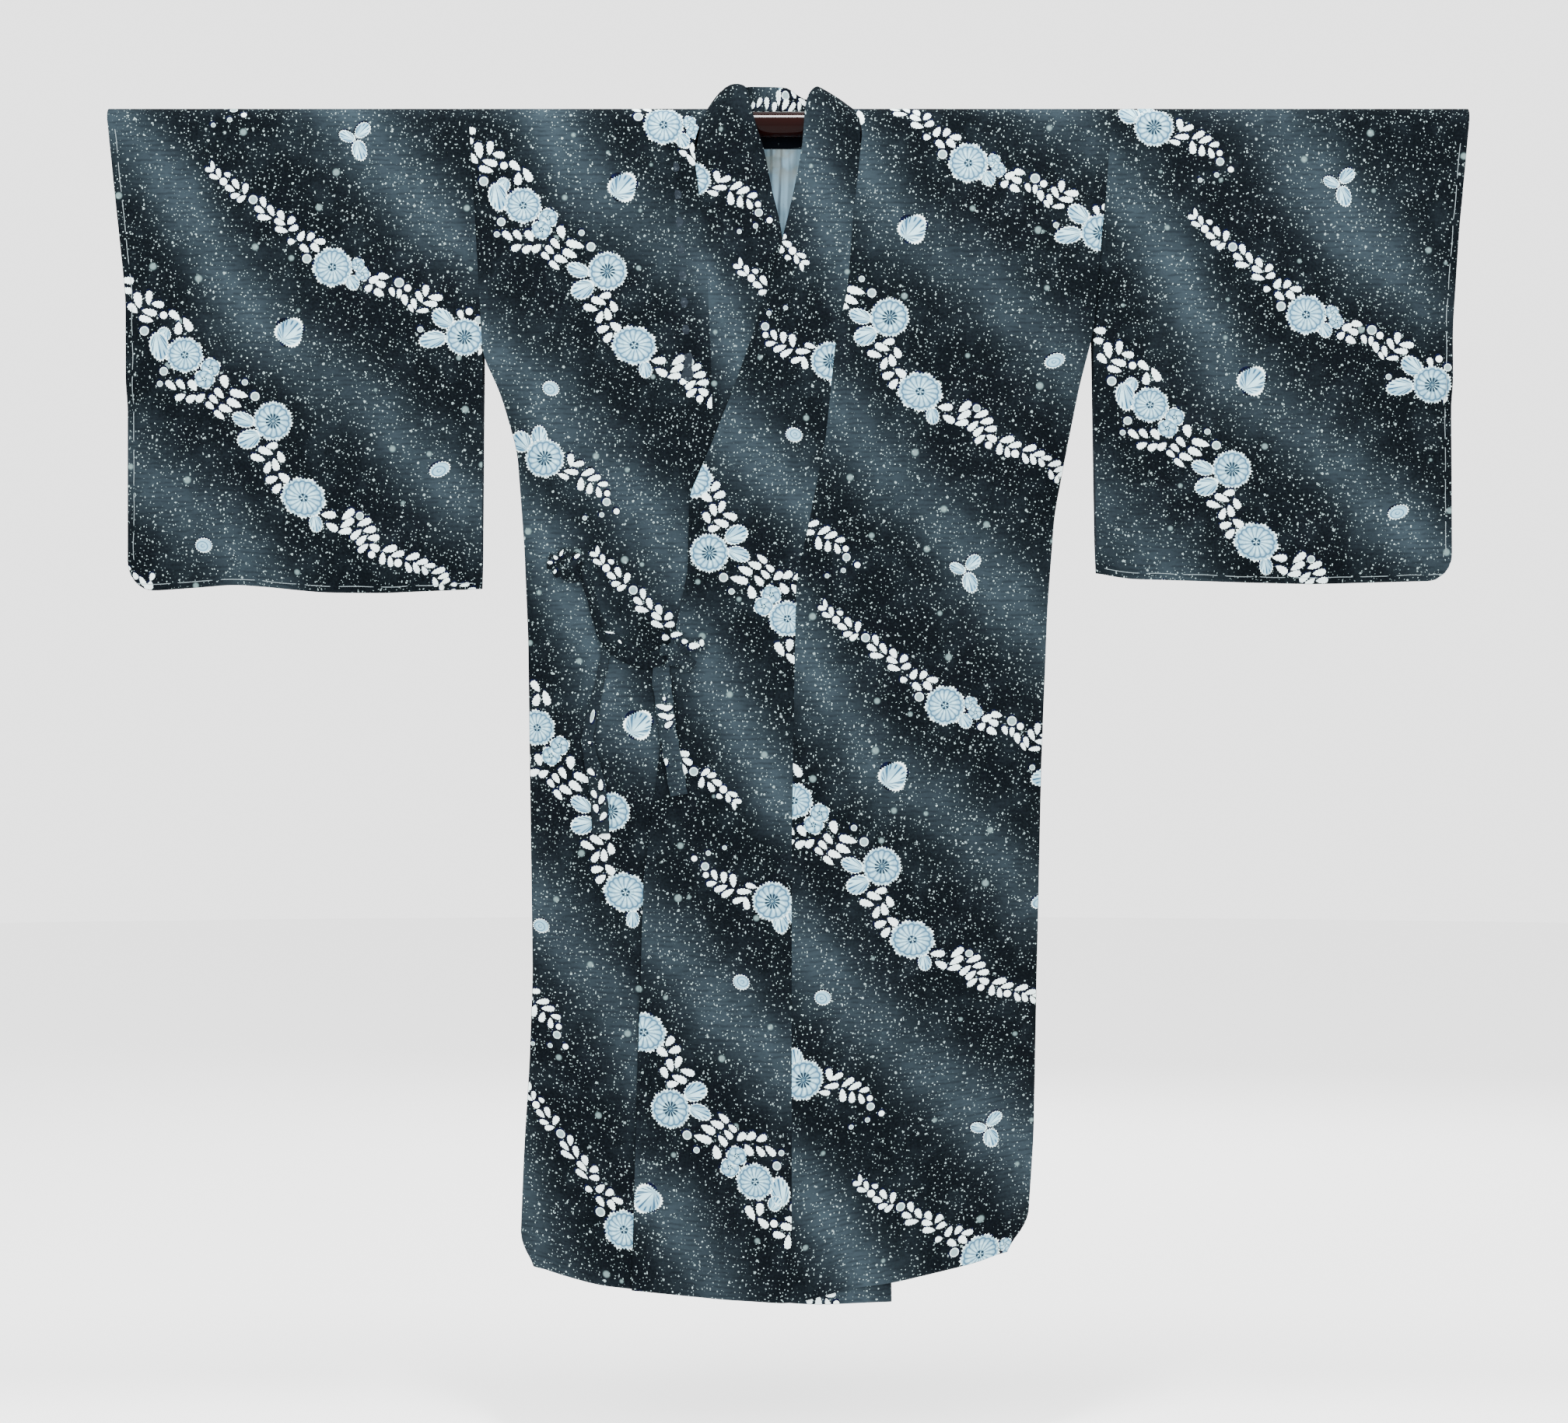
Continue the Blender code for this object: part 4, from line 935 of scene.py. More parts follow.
class BodyPanel(Panel):
    """One body half: front, over the shoulder and back in one length."""

    part = "body"

    def ends(self) -> Pair:
        """Front hem and back hem."""
        return -(QUARTER_TURN + BODY_LENGTH), QUARTER_TURN + BODY_LENGTH

    def edges(self, path: Array) -> tuple[Array, Array]:
        """Seam edge and side edge, in the order of X."""
        drop = drop_of(path)
        front = read(BAND_SEAM[self.half], drop, SEAM_BLUR)
        foot = abs(float(read(BAND_SEAM[self.half], np.array(-OVER_ROD))) - CENTRE_BACK)
        depth = QUARTER_TURN + NECK_DROP
        share = np.clip(path / depth, 0.0, 1.0)
        neck = CENTRE_BACK + self.sign * foot * np.sqrt(np.maximum(1.0 - share ** 2, 0.0))
        inner = np.where(path > 0.0, neck, front) + self.sign * SEAM / 2
        outer = read(BODY_SIDE[self.half], drop, SEAM_BLUR) - self.sign * SEAM / 2
        return (inner, outer) if self.sign > 0 else (outer, inner)

    def stations(self) -> Array:
        """Paths along the cloth, closer together where the neck is cut round."""
        return self.with_more((QUARTER_TURN + NECK_DROP) * np.sin(np.radians(NECK_CUT)))

    def hang(self, x: Array, path: Array) -> Array:
        """Points of the outer face: the front, the way over the rod and the back."""
        drop = drop_of(path)
        side_x = read(BODY_SIDE[self.half], drop, SEAM_BLUR) - self.sign * SEAM / 2
        foot = ARMHOLE_FOOT[self.half]
        amount = ramp(drop, foot, foot + ARMHOLE_CLOSE)
        is_front = path < 0.0
        z_front = hem_height(FRONT_HEM[self.half], x, drop)
        z_back = hem_height(BACK_HEM[self.half], x, drop)
        depth = np.where(is_front, front_depth(self.half, x, z_front), back_depth(x, z_back))
        depth = closed_depth(depth, np.abs(side_x - x), amount)
        y, z = np.where(is_front, -depth, depth), np.where(is_front, z_front, z_back)
        wall = np.stack([x, y, z], axis=-1)
        return np.where((np.abs(path) <= QUARTER_TURN)[:, None], over_rod(x, path), wall)


def hem_height(hem: Rows, x: Array, drop: Array) -> Array:
    """Height of a row of the body, drawn to the bowed hem lower down."""
    return -(drop + (read(hem, x, HEM_BLUR) - BODY_LENGTH) * ramp(drop, HEM_BLEND_START, BODY_LENGTH))


def hang_depth(z: Array) -> Array:
    """Depth of a plain wall below the rod."""
    return OVER_ROD + (HANG_DEPTH - OVER_ROD) * ramp(-z, 0.0, SETTLE_DROP)


def ripple(x: Array, z: Array) -> Array:
    """Small unevenness of hanging crepe, up to half a millimetre."""
    wave = np.sin(x * 61.0 + z * 23.0) * np.sin(z * 37.0 - x * 19.0 + 1.3)
    wave += 0.5 * np.sin(x * 113.0 - z * 71.0 + 0.6) * np.sin(z * 97.0 + 2.1)
    return RIPPLE * wave * ramp(-z, *RIPPLE_TOP)


def front_depth(half: str, x: Array, z: Array) -> Array:
    """Depth of the front's outer face, with the right half one layer further in."""
    depth = hang_depth(z) + ripple(x, z)
    if half == "right":
        depth = depth - LAYER_STEP * ramp(-z, *UNDER_LAYER_TOP)
        clear = ramp(read(BAND_FREE["left"], -z) - x, *UNDER_FOLD_SIDE)
        return depth + relief(UNDER_FRONT_FOLDS, x, z) * clear * ramp(-z, *FRONT_FOLD_TOP)
    folds = relief(TOP_FRONT_FOLDS, x, z)
    return depth + folds * ramp(-z, *FRONT_FOLD_TOP) * ramp(x, *TOP_FOLD_SIDE)


def back_depth(x: Array, z: Array) -> Array:
    """Depth of the back's outer face."""
    return hang_depth(z) + ripple(x + 0.4, z) + relief(BACK_FOLDS, x, z) * ramp(-z, *BACK_FOLD_TOP)


class BandPanel(Panel):
    """One band: the front overlap and half of the collar in one strip."""

    part = "band"
    printed_inside = True
    grid = 0.0060

    def __init__(self, half: str) -> None:
        """Set up the half of the coat and the collar's stations."""
        super().__init__(half)
        self.foot, self.top, self.mark = self.collar_stations()

    def collar_stations(self) -> tuple[Array, Array, Array]:
        """Foot and top edge of the collar, and the flat path of each station.

        Returns:
            Foot points, top points and paths.
        """
        sign, body = self.sign, BodyPanel(self.half)
        feet, tops = [], []
        for drop in COLLAR_DROPS:
            for edge, blur, inset, found in ((BAND_SEAM, SEAM_BLUR, sign * SEAM / 2, feet),
                                             (BAND_FREE, FREE_BLUR, 0.0, tops)):
                x = float(read(edge[self.half], np.array(drop), blur)) - inset
                depth = float(front_depth(self.half, np.array([x]), np.array([-drop]))[0])
                found.append((x, -depth, -drop))
        paths = [-(QUARTER_TURN + SHOULDER_DROP)]
        paths += [-QUARTER_TURN * (ARC_STEPS - step) / ARC_STEPS for step in range(ARC_STEPS + 1)]
        for path in paths:
            drop = drop_of(np.array([path]))
            x = read(BAND_SEAM[self.half], drop, SEAM_BLUR) - sign * SEAM / 2
            feet.append(tuple(body.hang(x, np.array([path]))[0]))
        reach = abs(float(read(BAND_SEAM[self.half], np.array(-OVER_ROD))) - CENTRE_BACK) - SEAM / 2
        for degrees in NECK_ANGLES:
            angle = math.radians(degrees)
            path = (QUARTER_TURN + NECK_DROP - SEAM / 2) * math.sin(angle)
            x = CENTRE_BACK + sign * SEAM / 2 + sign * (reach - SEAM / 2) * math.cos(angle)
            feet.append(tuple(body.hang(np.array([x]), np.array([path]))[0]))
        tops += [tuple(rim) for rim in COLLAR_TOP[self.half]]
        foot, top = np.array(feet), np.array(tops)
        top[-1, 0] = foot[-1, 0]
        middle = (foot + top) / 2
        steps = np.linalg.norm(np.diff(middle, axis=0), axis=1)
        steps[:2] = COLLAR_DROPS[0] - COLLAR_DROPS[1]
        mark = -(QUARTER_TURN + COLLAR_DROPS[0]) + np.concatenate([[0.0], np.cumsum(steps)])
        return foot, top, mark

    def ends(self) -> Pair:
        """Hem and centre back."""
        return -(QUARTER_TURN + BODY_LENGTH), float(self.mark[-1])

    def edges(self, path: Array) -> tuple[Array, Array]:
        """Free edge and seam edge, in the order of X."""
        drop = -(path + QUARTER_TURN)
        low = drop >= COLLAR_DROPS[1]
        seam = read(BAND_SEAM[self.half], drop, SEAM_BLUR) - self.sign * SEAM / 2
        free = read(BAND_FREE[self.half], drop, FREE_BLUR)
        foot_x = np.interp(path, self.mark[1:5], self.foot[1:5, 0])
        width = np.interp(path, self.mark, np.linalg.norm(self.top - self.foot, axis=1))
        seam = np.where(low, seam, foot_x)
        free = np.where(low, free, foot_x - self.sign * width)
        return (free, seam) if self.sign > 0 else (seam, free)

    def collar_leaves_and_painted_shadow(self) -> list[InkShape]:
        """Leaves near the centre back, where the inside of the collar shows above the rod, and a dark patch
        at the collar's foot that is a painted shadow under the rod.
        """
        found = []
        for chart_x, chart_y, long, wide, lean in COLLAR_LEAVES:
            x, z = (chart_x - CHART_X) * CHART, (CHART_Y - chart_y) * CHART
            if self.sign * (x - CENTRE_BACK) > -0.012:
                turn = math.radians(lean - 90.0) * -self.sign + (math.pi if self.sign > 0 else 0.0)
                found.append(InkShape(Kind.LEAF, float(self.foot[4, 0]) - self.sign * (z + NECK_DROP),
                                      self.ends()[1] - self.sign * (x - CENTRE_BACK),
                                      long * CHART, wide * CHART, turn))
        # A painted shadow: a plain dark patch at the collar's foot, under the rod.
        found.append(InkShape(Kind.HALO, float(self.foot[4, 0]) - self.sign * 0.004, self.ends()[1] - 0.012,
                              0.026, 0.052, 0.0))
        return found

    def hang(self, x: Array, path: Array) -> Array:
        """Points of the outer face: the flat front, and the collar that stands above it."""
        drop = -(path + QUARTER_TURN)
        z = hem_height(FRONT_HEM[self.half], x, np.maximum(drop, 0.0))
        front = np.stack([x, -front_depth(self.half, x, z), z], axis=-1)
        at = np.interp(path, self.mark, np.arange(len(self.mark)))
        foot, top = smooth_row(self.foot, at), smooth_row(self.top, at)
        low, high = self.edges(path)
        seam, free = (high, low) if self.sign > 0 else (low, high)
        share = (x - seam) / (free - seam)
        station = np.clip(at - 3.0, 0.0, 13.0)
        turn = np.sin(math.pi * np.minimum(station / 10.0, 1.0))
        lift = COLLAR_CROWN[self.half] * 4.0 * share * (1.0 - share) * turn
        collar = foot + (top - foot) * share[:, None]
        collar[:, 2] += lift
        blend = ramp(-drop, *COLLAR_BLEND)[:, None]
        return front * (1.0 - blend) + collar * blend


class SleevePanel(Panel):
    """One sleeve: a length folded over the rod, closed at its foot and below the cuff."""

    part = "sleeve"
    apart = 0.0012

    def ends(self) -> Pair:
        """Foot in front and foot behind."""
        return -(QUARTER_TURN + SLEEVE_LENGTH), QUARTER_TURN + SLEEVE_LENGTH

    def stations(self) -> Array:
        """Paths along the cloth, closer together at the rounded corner."""
        start, end = self.ends()
        corner = CUFF_CORNER * (1.0 - np.sin(np.radians(CORNER_CUT)))
        return self.with_more(np.concatenate([start + corner, end - corner]))

    def cuff(self, drop: Array) -> Array:
        """X of the cuff edge, with its lower corner rounded."""
        into = np.maximum(drop - (SLEEVE_LENGTH - CUFF_CORNER), 0.0)
        chord = np.sqrt(np.maximum(CUFF_CORNER ** 2 - into ** 2, 0.0))
        outer = read(SLEEVE_OUTER[self.half], drop, HEM_BLUR)
        return outer - self.sign * (CUFF_CORNER - chord) * CORNER_SHARE

    def edges(self, path: Array) -> tuple[Array, Array]:
        """Sleeve seam and cuff, in the order of X."""
        drop = drop_of(path)
        inner = read(SLEEVE_INNER[self.half], drop, SEAM_BLUR) + self.sign * SEAM / 2
        outer = self.cuff(drop)
        return (inner, outer) if self.sign > 0 else (outer, inner)

    def hang(self, x: Array, path: Array) -> Array:
        """Points of the outer face."""
        drop = drop_of(path)
        side = np.where(path < 0.0, -1.0, 1.0)
        foot = read(SLEEVE_FOOT[self.half], x, SEAM_BLUR)
        z = -(drop + (foot - SLEEVE_LENGTH) * ramp(drop, SLEEVE_BLEND_START, SLEEVE_LENGTH))
        depth = OVER_ROD + (SLEEVE_FOOT_DEPTH - OVER_ROD) * ramp(-z, 0.0, SLEEVE_LENGTH)
        folds = relief(SLEEVE_FOLDS[self.half], x - side * 0.012, z)
        depth = depth + folds * ramp(-z, *SLEEVE_FOLD_TOP)
        depth = depth + ripple(x - side * 0.2, z)
        amount = ramp(drop, CUFF_END, CUFF_END + CUFF_CLOSE)
        depth = closed_depth(depth, np.abs(self.cuff(drop) - x), amount)
        depth = closed_depth(depth, foot + z, np.ones_like(depth))
        wall = np.stack([x, side * depth, z], axis=-1)
        return np.where((np.abs(path) <= QUARTER_TURN)[:, None], over_rod(x, path), wall)


class LiningPanel(Panel):
    """The shoulder lining inside the upper back, with its centre seam and the folds beside it."""

    plain = True
    thickness = 0.0010
    grid = 0.0045

    def __init__(self) -> None:
        """Name the lining."""
        super().__init__("left")
        self.node, self.name = "back_lining", "pale_shoulder_lining"

    def ends(self) -> Pair:
        """Neck and foot of the lining."""
        return QUARTER_TURN + NECK_DROP + 0.0002, QUARTER_TURN + LINING_DROP

    def edges(self, path: Array) -> tuple[Array, Array]:
        """Side edges, which run in with the body's sides."""
        drop = drop_of(path)
        return tuple(read(BODY_SIDE[half], drop) * share for half, share in LINING_SHARE.items())

    def hang(self, x: Array, path: Array) -> Array:
        """Points of the face that touches the back, moved in by the cloth."""
        z = -drop_of(path)
        depth = back_depth(x, z) - CLOTH - SEAM
        return np.stack([x, depth - np.maximum(relief(LINING_TUCKS, x, z), 0.0), z], axis=-1)


def search_tree(item: bpy.types.Object) -> BVHTree:
    """Make a search tree of a piece's faces."""
    return BVHTree.FromPolygons([tuple(v.co) for v in item.data.vertices],
                                [tuple(p.vertices) for p in item.data.polygons])


def foremost(trees: Sequence[BVHTree], place: Sequence[float], across: Sequence[float],
             up: Sequence[float]) -> float:
    """Find the depth of the foremost cloth round a place.

    Args:
        trees: Search trees of the cloth.
        place: X and Z of the place.
        across: Steps to the side at which it is felt for.
        up: Steps up at which it is felt for.

    Returns:
        The depth, or 0 where nothing is there.
    """
    found = 0.0
    for dx in across:
        for dz in up:
            for tree in trees:
                start = Vector((place[0] + dx, -0.2, place[1] + dz))
                hit = tree.ray_cast(start, Vector((0.0, 1.0, 0.0)))[0]
                found = min(found, hit.y) if hit is not None else found
    return found


class TiePanel(Panel):
    """A flat tie that lies along a route on what is beneath it."""

    grid = 0.0022

    def __init__(self, node: str, name: str, route: Rows, trees: list[BVHTree]) -> None:
        """Lay the tie's middle line and find what it rests on.

        Args:
            node: CAD node.
            name: Name of the piece.
            route: Stations of its middle line.
            trees: Search trees of what it rests on.
        """
        self.node, self.name = node, name
        at = np.linspace(0, len(route) - 1, 12 * (len(route) - 1) + 1)
        self.line = smooth_row(np.array(route), at)
        self.mark = lengths_along(self.line[:, :2])
        self.columns = np.linspace(-TIE_REACH, TIE_REACH, 9)
        self.seat = np.array([
            [foremost(trees, self.at_place(np.array([x]), np.array([path]))[0], TIE_FEEL, TIE_FEEL)
             for x in self.columns] for path in self.mark
        ])

    def at_place(self, x: Array, path: Array) -> Array:
        """X and Z of places on the tie."""
        middle, ahead, behind = (
            np.stack([np.interp(path + step, self.mark, self.line[:, k]) for k in range(2)], axis=-1)
            for step in (0.0, 0.003, -0.003)
        )
        along = ahead - behind
        along /= np.maximum(np.linalg.norm(along, axis=1, keepdims=True), 1e-9)
        across = np.stack([along[:, 1], -along[:, 0]], axis=-1)
        return middle + across * x[:, None]

    def ends(self) -> Pair:
        """Start and end of the tie."""
        return 0.0, float(self.mark[-1])

    def stations(self) -> Array:
        """Even stations along the tie."""
        return np.linspace(0.0, self.mark[-1], int(self.mark[-1] / self.grid))

    def edges(self, path: Array) -> tuple[Array, Array]:
        """Both edges, with a little unevenness."""
        width = np.interp(path, self.mark, self.line[:, 2]) / 2
        low = -width * (1.0 + 0.05 * np.sin(path * 330.0))
        return low, width * (1.0 + 0.05 * np.sin(path * 270.0 + 1.0))

    def hang(self, x: Array, path: Array) -> Array:
        """Points of the outer face: a soft crown with a lengthwise pleat."""
        place = self.at_place(x, path)
        row = np.clip(np.interp(path, self.mark, np.arange(len(self.mark))), 0, len(self.mark) - 1.001)
        column = np.interp(x, self.columns, np.arange(len(self.columns)))
        column = np.clip(column, 0, len(self.columns) - 1.001)
        r, c = row.astype(int), column.astype(int)
        fr, fc = row - r, column - c
        seat = (self.seat[r, c] * (1 - fr) * (1 - fc) + self.seat[r + 1, c] * fr * (1 - fc)
                + self.seat[r, c + 1] * (1 - fr) * fc + self.seat[r + 1, c + 1] * fr * fc)
        half = np.maximum(np.interp(path, self.mark, self.line[:, 2]) / 2, 1e-4)
        share = np.clip(x / half, -1.0, 1.0)
        pleat = np.exp(-((share + 0.15 * np.sin(path * 60)) / 0.18) ** 2)
        crown = TIE_CROWN * (1.0 - share ** 2) - TIE_PLEAT * pleat
        depth = -seat + TIE_GAP + self.thickness + crown
        return np.stack([place[:, 0], -depth, place[:, 1]], axis=-1)


class LoopPanel(Panel):
    """A loop of a knot: a strip that runs out from the middle, folds and comes back above itself."""

    thickness = 0.0009
    grid = 0.0016
    slack = 2.15

    def __init__(self, middle: Pair, seat: float, loop: Loop) -> None:
        """Set the loop's place.

        Args:
            middle: X and Z of the knot's middle.
            seat: Depth of what the knot is sewn on.
            loop: The loop's sizes.
        """
        self.middle, self.seat, self.loop = middle, seat, loop
        self.length = self.slack * loop.reach

    def ends(self) -> Pair:
        """Both ends, under and over the loop's root."""
        return 0.0, self.length

    def stations(self) -> Array:
        """Even stations along the strip."""
        return np.linspace(0.0, self.length, int(self.length / self.grid))

    def edges(self, path: Array) -> tuple[Array, Array]:
        """Edges of the strip, which is gathered at its root."""
        out = np.sin(math.pi * np.clip(path / self.length, 0.0, 1.0))
        half = self.loop.width / 2 * (0.42 + 0.58 * np.maximum(out, 0.0) ** 0.8)
        return -half, half

    def hang(self, x: Array, path: Array) -> Array:
        """Points of the outer face, pleated towards the root."""
        share = path / self.length
        turn = np.sin(math.pi * np.clip(share, 0.0, 1.0))
        out = self.loop.reach * np.sign(turn) * np.abs(turn) ** 0.85
        _, half = self.edges(path)
        across = x / half
        up = self.loop.low + (self.loop.high - self.loop.low) * (1.0 - np.cos(math.pi * share)) / 2
        pleat = np.cos(3.2 * math.pi * across + self.loop.degrees)
        up = up + 0.00055 * pleat * (1.0 - 0.75 * turn) * (share > 0.5)
        up = up + 0.0009 * (share - 0.5) * (1.0 - across ** 2)
        return self.placed(out - 0.0016 * across ** 2 * turn, x, up)

    def placed(self, out: Array, x: Array, up: Array) -> Array:
        """Turn places of the loop to its own direction round the knot's middle."""
        angle = math.radians(self.loop.degrees)
        cos, sin = math.cos(angle), math.sin(angle)
        return np.stack([
            self.middle[0] + out * cos - x * sin, self.seat - up, self.middle[1] + out * sin + x * cos,
        ], axis=-1)


class CorePanel(LoopPanel):
    """The strip that is wound round a knot's middle."""

    slack = 2.2

    def __init__(self, middle: Pair, seat: float, lean: float) -> None:
        """Set the place of the knot's middle and the lean of its strip."""
        super().__init__(middle, seat, Loop(lean, KNOT_CORE, 2 * KNOT_CORE, 0.0006, KNOT_HEIGHT))

    def edges(self, path: Array) -> tuple[Array, Array]:
        """Edges of the wound strip."""
        share = np.clip(2.0 * path / self.length - 1.0, -1.0, 1.0)
        half = KNOT_CORE * np.sqrt(np.maximum(1.0 - 0.86 * share ** 2, 0.05))
        return -half, half

    def hang(self, x: Array, path: Array) -> Array:
        """Points of the outer face: a lump with slanting folds."""
        share = 2.0 * path / self.length - 1.0
        _, half = self.edges(path)
        across = x / half
        dome = np.sqrt(np.maximum(1.0 - 0.90 * share ** 2, 0.0))
        dome = dome * np.sqrt(np.maximum(1.0 - 0.93 * across ** 2, 0.0))
        crease = np.abs(np.sin(2.6 * (across + 0.7 * share) + 0.6))
        up = self.loop.low + self.loop.high * dome * (0.74 + 0.26 * crease ** 0.6)
        return self.placed(share * KNOT_CORE * 1.1, -x, up)


@dataclass(frozen=True)
class Palette:
    """Colours of the dyed cloth, in linear light, with the dark colours that paint shading into grooves,
    creases and the collar's foot.
    """

    night: Triple = (0.0018, 0.0028, 0.0038)
    smoke: Triple = (0.0245, 0.0370, 0.0460)
    navy: Triple = (0.0028, 0.0042, 0.0200)
    leaf: Triple = (0.720, 0.860, 0.840)
    petal: Triple = (0.190, 0.360, 0.450)
    pale_petal: Triple = (0.340, 0.570, 0.650)
    vein: Triple = (0.008, 0.034, 0.078)
    disc: Triple = (0.140, 0.210, 0.210)
    spatter: Triple = (0.360, 0.480, 0.480)
    # Dark of the navy ink, also used as painted shading in the ribs' grooves and as the painted shadow at
    # the collar's foot.
    dark_ink_and_painted_shade: Triple = (0.0022, 0.0030, 0.0048)
    lining: Triple = (0.090, 0.160, 0.205)
    lining_light: Triple = (0.185, 0.330, 0.430)
    # Thread tone of the lining, also used as painted shading along the tucks' creases.
    lining_thread_tone_and_painted_shade: Triple = (0.050, 0.080, 0.105)
    thread: Triple = (0.280, 0.350, 0.370)


PALETTE = Palette()


class Reading:
    """A value that varies over a surface and can be reckoned with like a number."""

    def __init__(self, nodes: "Nodes", socket: Socket) -> None:
        """Keep the socket that gives the value."""
        self.nodes, self.socket = nodes, socket

    def reckon(self, operation: str, other: object = 0.0, clamp: bool = False) -> "Reading":
        """Feed this value, and another one, to a Math node."""
        made = self.nodes.node("Math", {0: self, 1: other}, operation=operation, use_clamp=clamp)
        return Reading(self.nodes, made.outputs[0])

    def __add__(self, other: object) -> "Reading":
        """Add a value."""
        return self.reckon("ADD", other)

    def __sub__(self, other: object) -> "Reading":
        """Take a value away."""
        return self.reckon("SUBTRACT", other)

    def __mul__(self, other: object) -> "Reading":
        """Multiply by a value."""
        return self.reckon("MULTIPLY", other)

    def over(self, other: object) -> "Reading":
        """Take the higher of two values."""
        return self.reckon("MAXIMUM", other)

    def size(self) -> "Reading":
        """Drop the sign."""
        return self.reckon("ABSOLUTE")

    def sine(self) -> "Reading":
        """Take the sine."""
        return self.reckon("SINE")

    def step(self, low: float, high: float) -> "Reading":
        """Rise from 0 at low to 1 at high, or fall where high is below low."""
        start, end = sorted((low, high))
        feeds = {0: self, 1: start, 2: end, 3: float(low > high), 4: float(low < high)}
        made = self.nodes.node("MapRange", feeds, clamp=True, interpolation_type="SMOOTHSTEP")
        return Reading(self.nodes, made.outputs[0])

    def line(self, at: float, width: float) -> "Reading":
        """Give 1 where the value is at a mark and 0 elsewhere."""
        return (self - at).size().step(width, width * 0.3)


class Nodes:
    """Builds one Principled material."""

    def __init__(self, name: str) -> None:
        """Start the material under its name."""
        self.material = bpy.data.materials.new(name)
        self.material.use_nodes = True
        self.tree = self.material.node_tree
        self.shader = self.tree.nodes["Principled BSDF"]

    def node(self, kind: str, feeds: Optional[dict] = None, **settings: object) -> bpy.types.Node:
        """Add a node.

        Args:
            kind: Its type, without the first word.
            feeds: What its sockets are given, by number or name.
            settings: Its other settings.

        Returns:
            The node.
        """
        made = self.tree.nodes.new("ShaderNode" + kind)
        for key, value in settings.items():
            setattr(made, key, value)
        for key, value in (feeds or {}).items():
            self.feed(made.inputs[key], value)
        return made

    def feed(self, socket: Socket, value: object) -> None:
        """Link a socket or set it."""
        value = value.socket if isinstance(value, Reading) else value
        if isinstance(value, Socket):
            self.tree.links.new(value, socket)
        else:
            socket.default_value = (*value, 1.0) if socket.type == "RGBA" else value

    def mix(self, factor: object, first: object, second: object) -> Socket:
        """Mix two colours."""
        return self.node("Mix", {0: factor, 6: first, 7: second}, data_type="RGBA").outputs[2]

    def flat(self, name: str = "cloth") -> Socket:
        """Read a UV map."""
        return self.node("UVMap", uv_map=name).outputs[0]

    def split(self, place: Socket, kind: str = "SeparateXYZ") -> tuple[Reading, Reading]:
        """Take the first two parts of a place or colour."""
        made = self.node(kind, {0: place})
        return Reading(self, made.outputs[0]), Reading(self, made.outputs[1])

    def mapped(self, place: object, scale: tuple, turn: float = 0.0, shift: float = 0.0) -> Socket:
        """Turn, scale and shift a place."""
        feeds = {"Vector": place, "Rotation": (0.0, 0.0, turn), "Scale": (*scale, 1.0)[:3],
                 "Location": (shift, shift, 0.0)}
        return self.node("Mapping", feeds).outputs[0]

    def noise(self, scale: float | tuple, detail: float = 2.0, place: object = None) -> Reading:
        """Read a noise over the flat cloth or another place.

        Args:
            scale: Its scale, or one for each direction.
            detail: Its detail.
            place: Where it is read, the flat cloth unless given.

        Returns:
            The noise, from 0 to 1.
        """
        kind = "3D" if place else "2D"
        place = place or self.flat()
        if isinstance(scale, tuple):
            place, scale = self.mapped(place, scale), 1.0
        feeds = {"Vector": place, "Scale": scale, "Detail": detail}
        return Reading(self, self.node("TexNoise", feeds, noise_dimensions=kind).outputs[0])

    def bump(self, height: Reading, strength: float, depth: float) -> None:
        """Raise the surface by a value."""
        made = self.node("Bump", {"Height": height, "Strength": strength, "Distance": depth})
        self.feed(self.shader.inputs["Normal"], made.outputs[0])

    def finish(self, colour: object, roughness: object, sheen: float = 0.0,
               specular: float = 0.012) -> Material:
        """Set the shader's own sockets and return the material."""
        for key, value in (("Base Color", colour), ("Roughness", roughness), ("Sheen Weight", sheen),
                           ("Specular IOR Level", specular)):
            self.feed(self.shader.inputs[key], value)
        return self.material


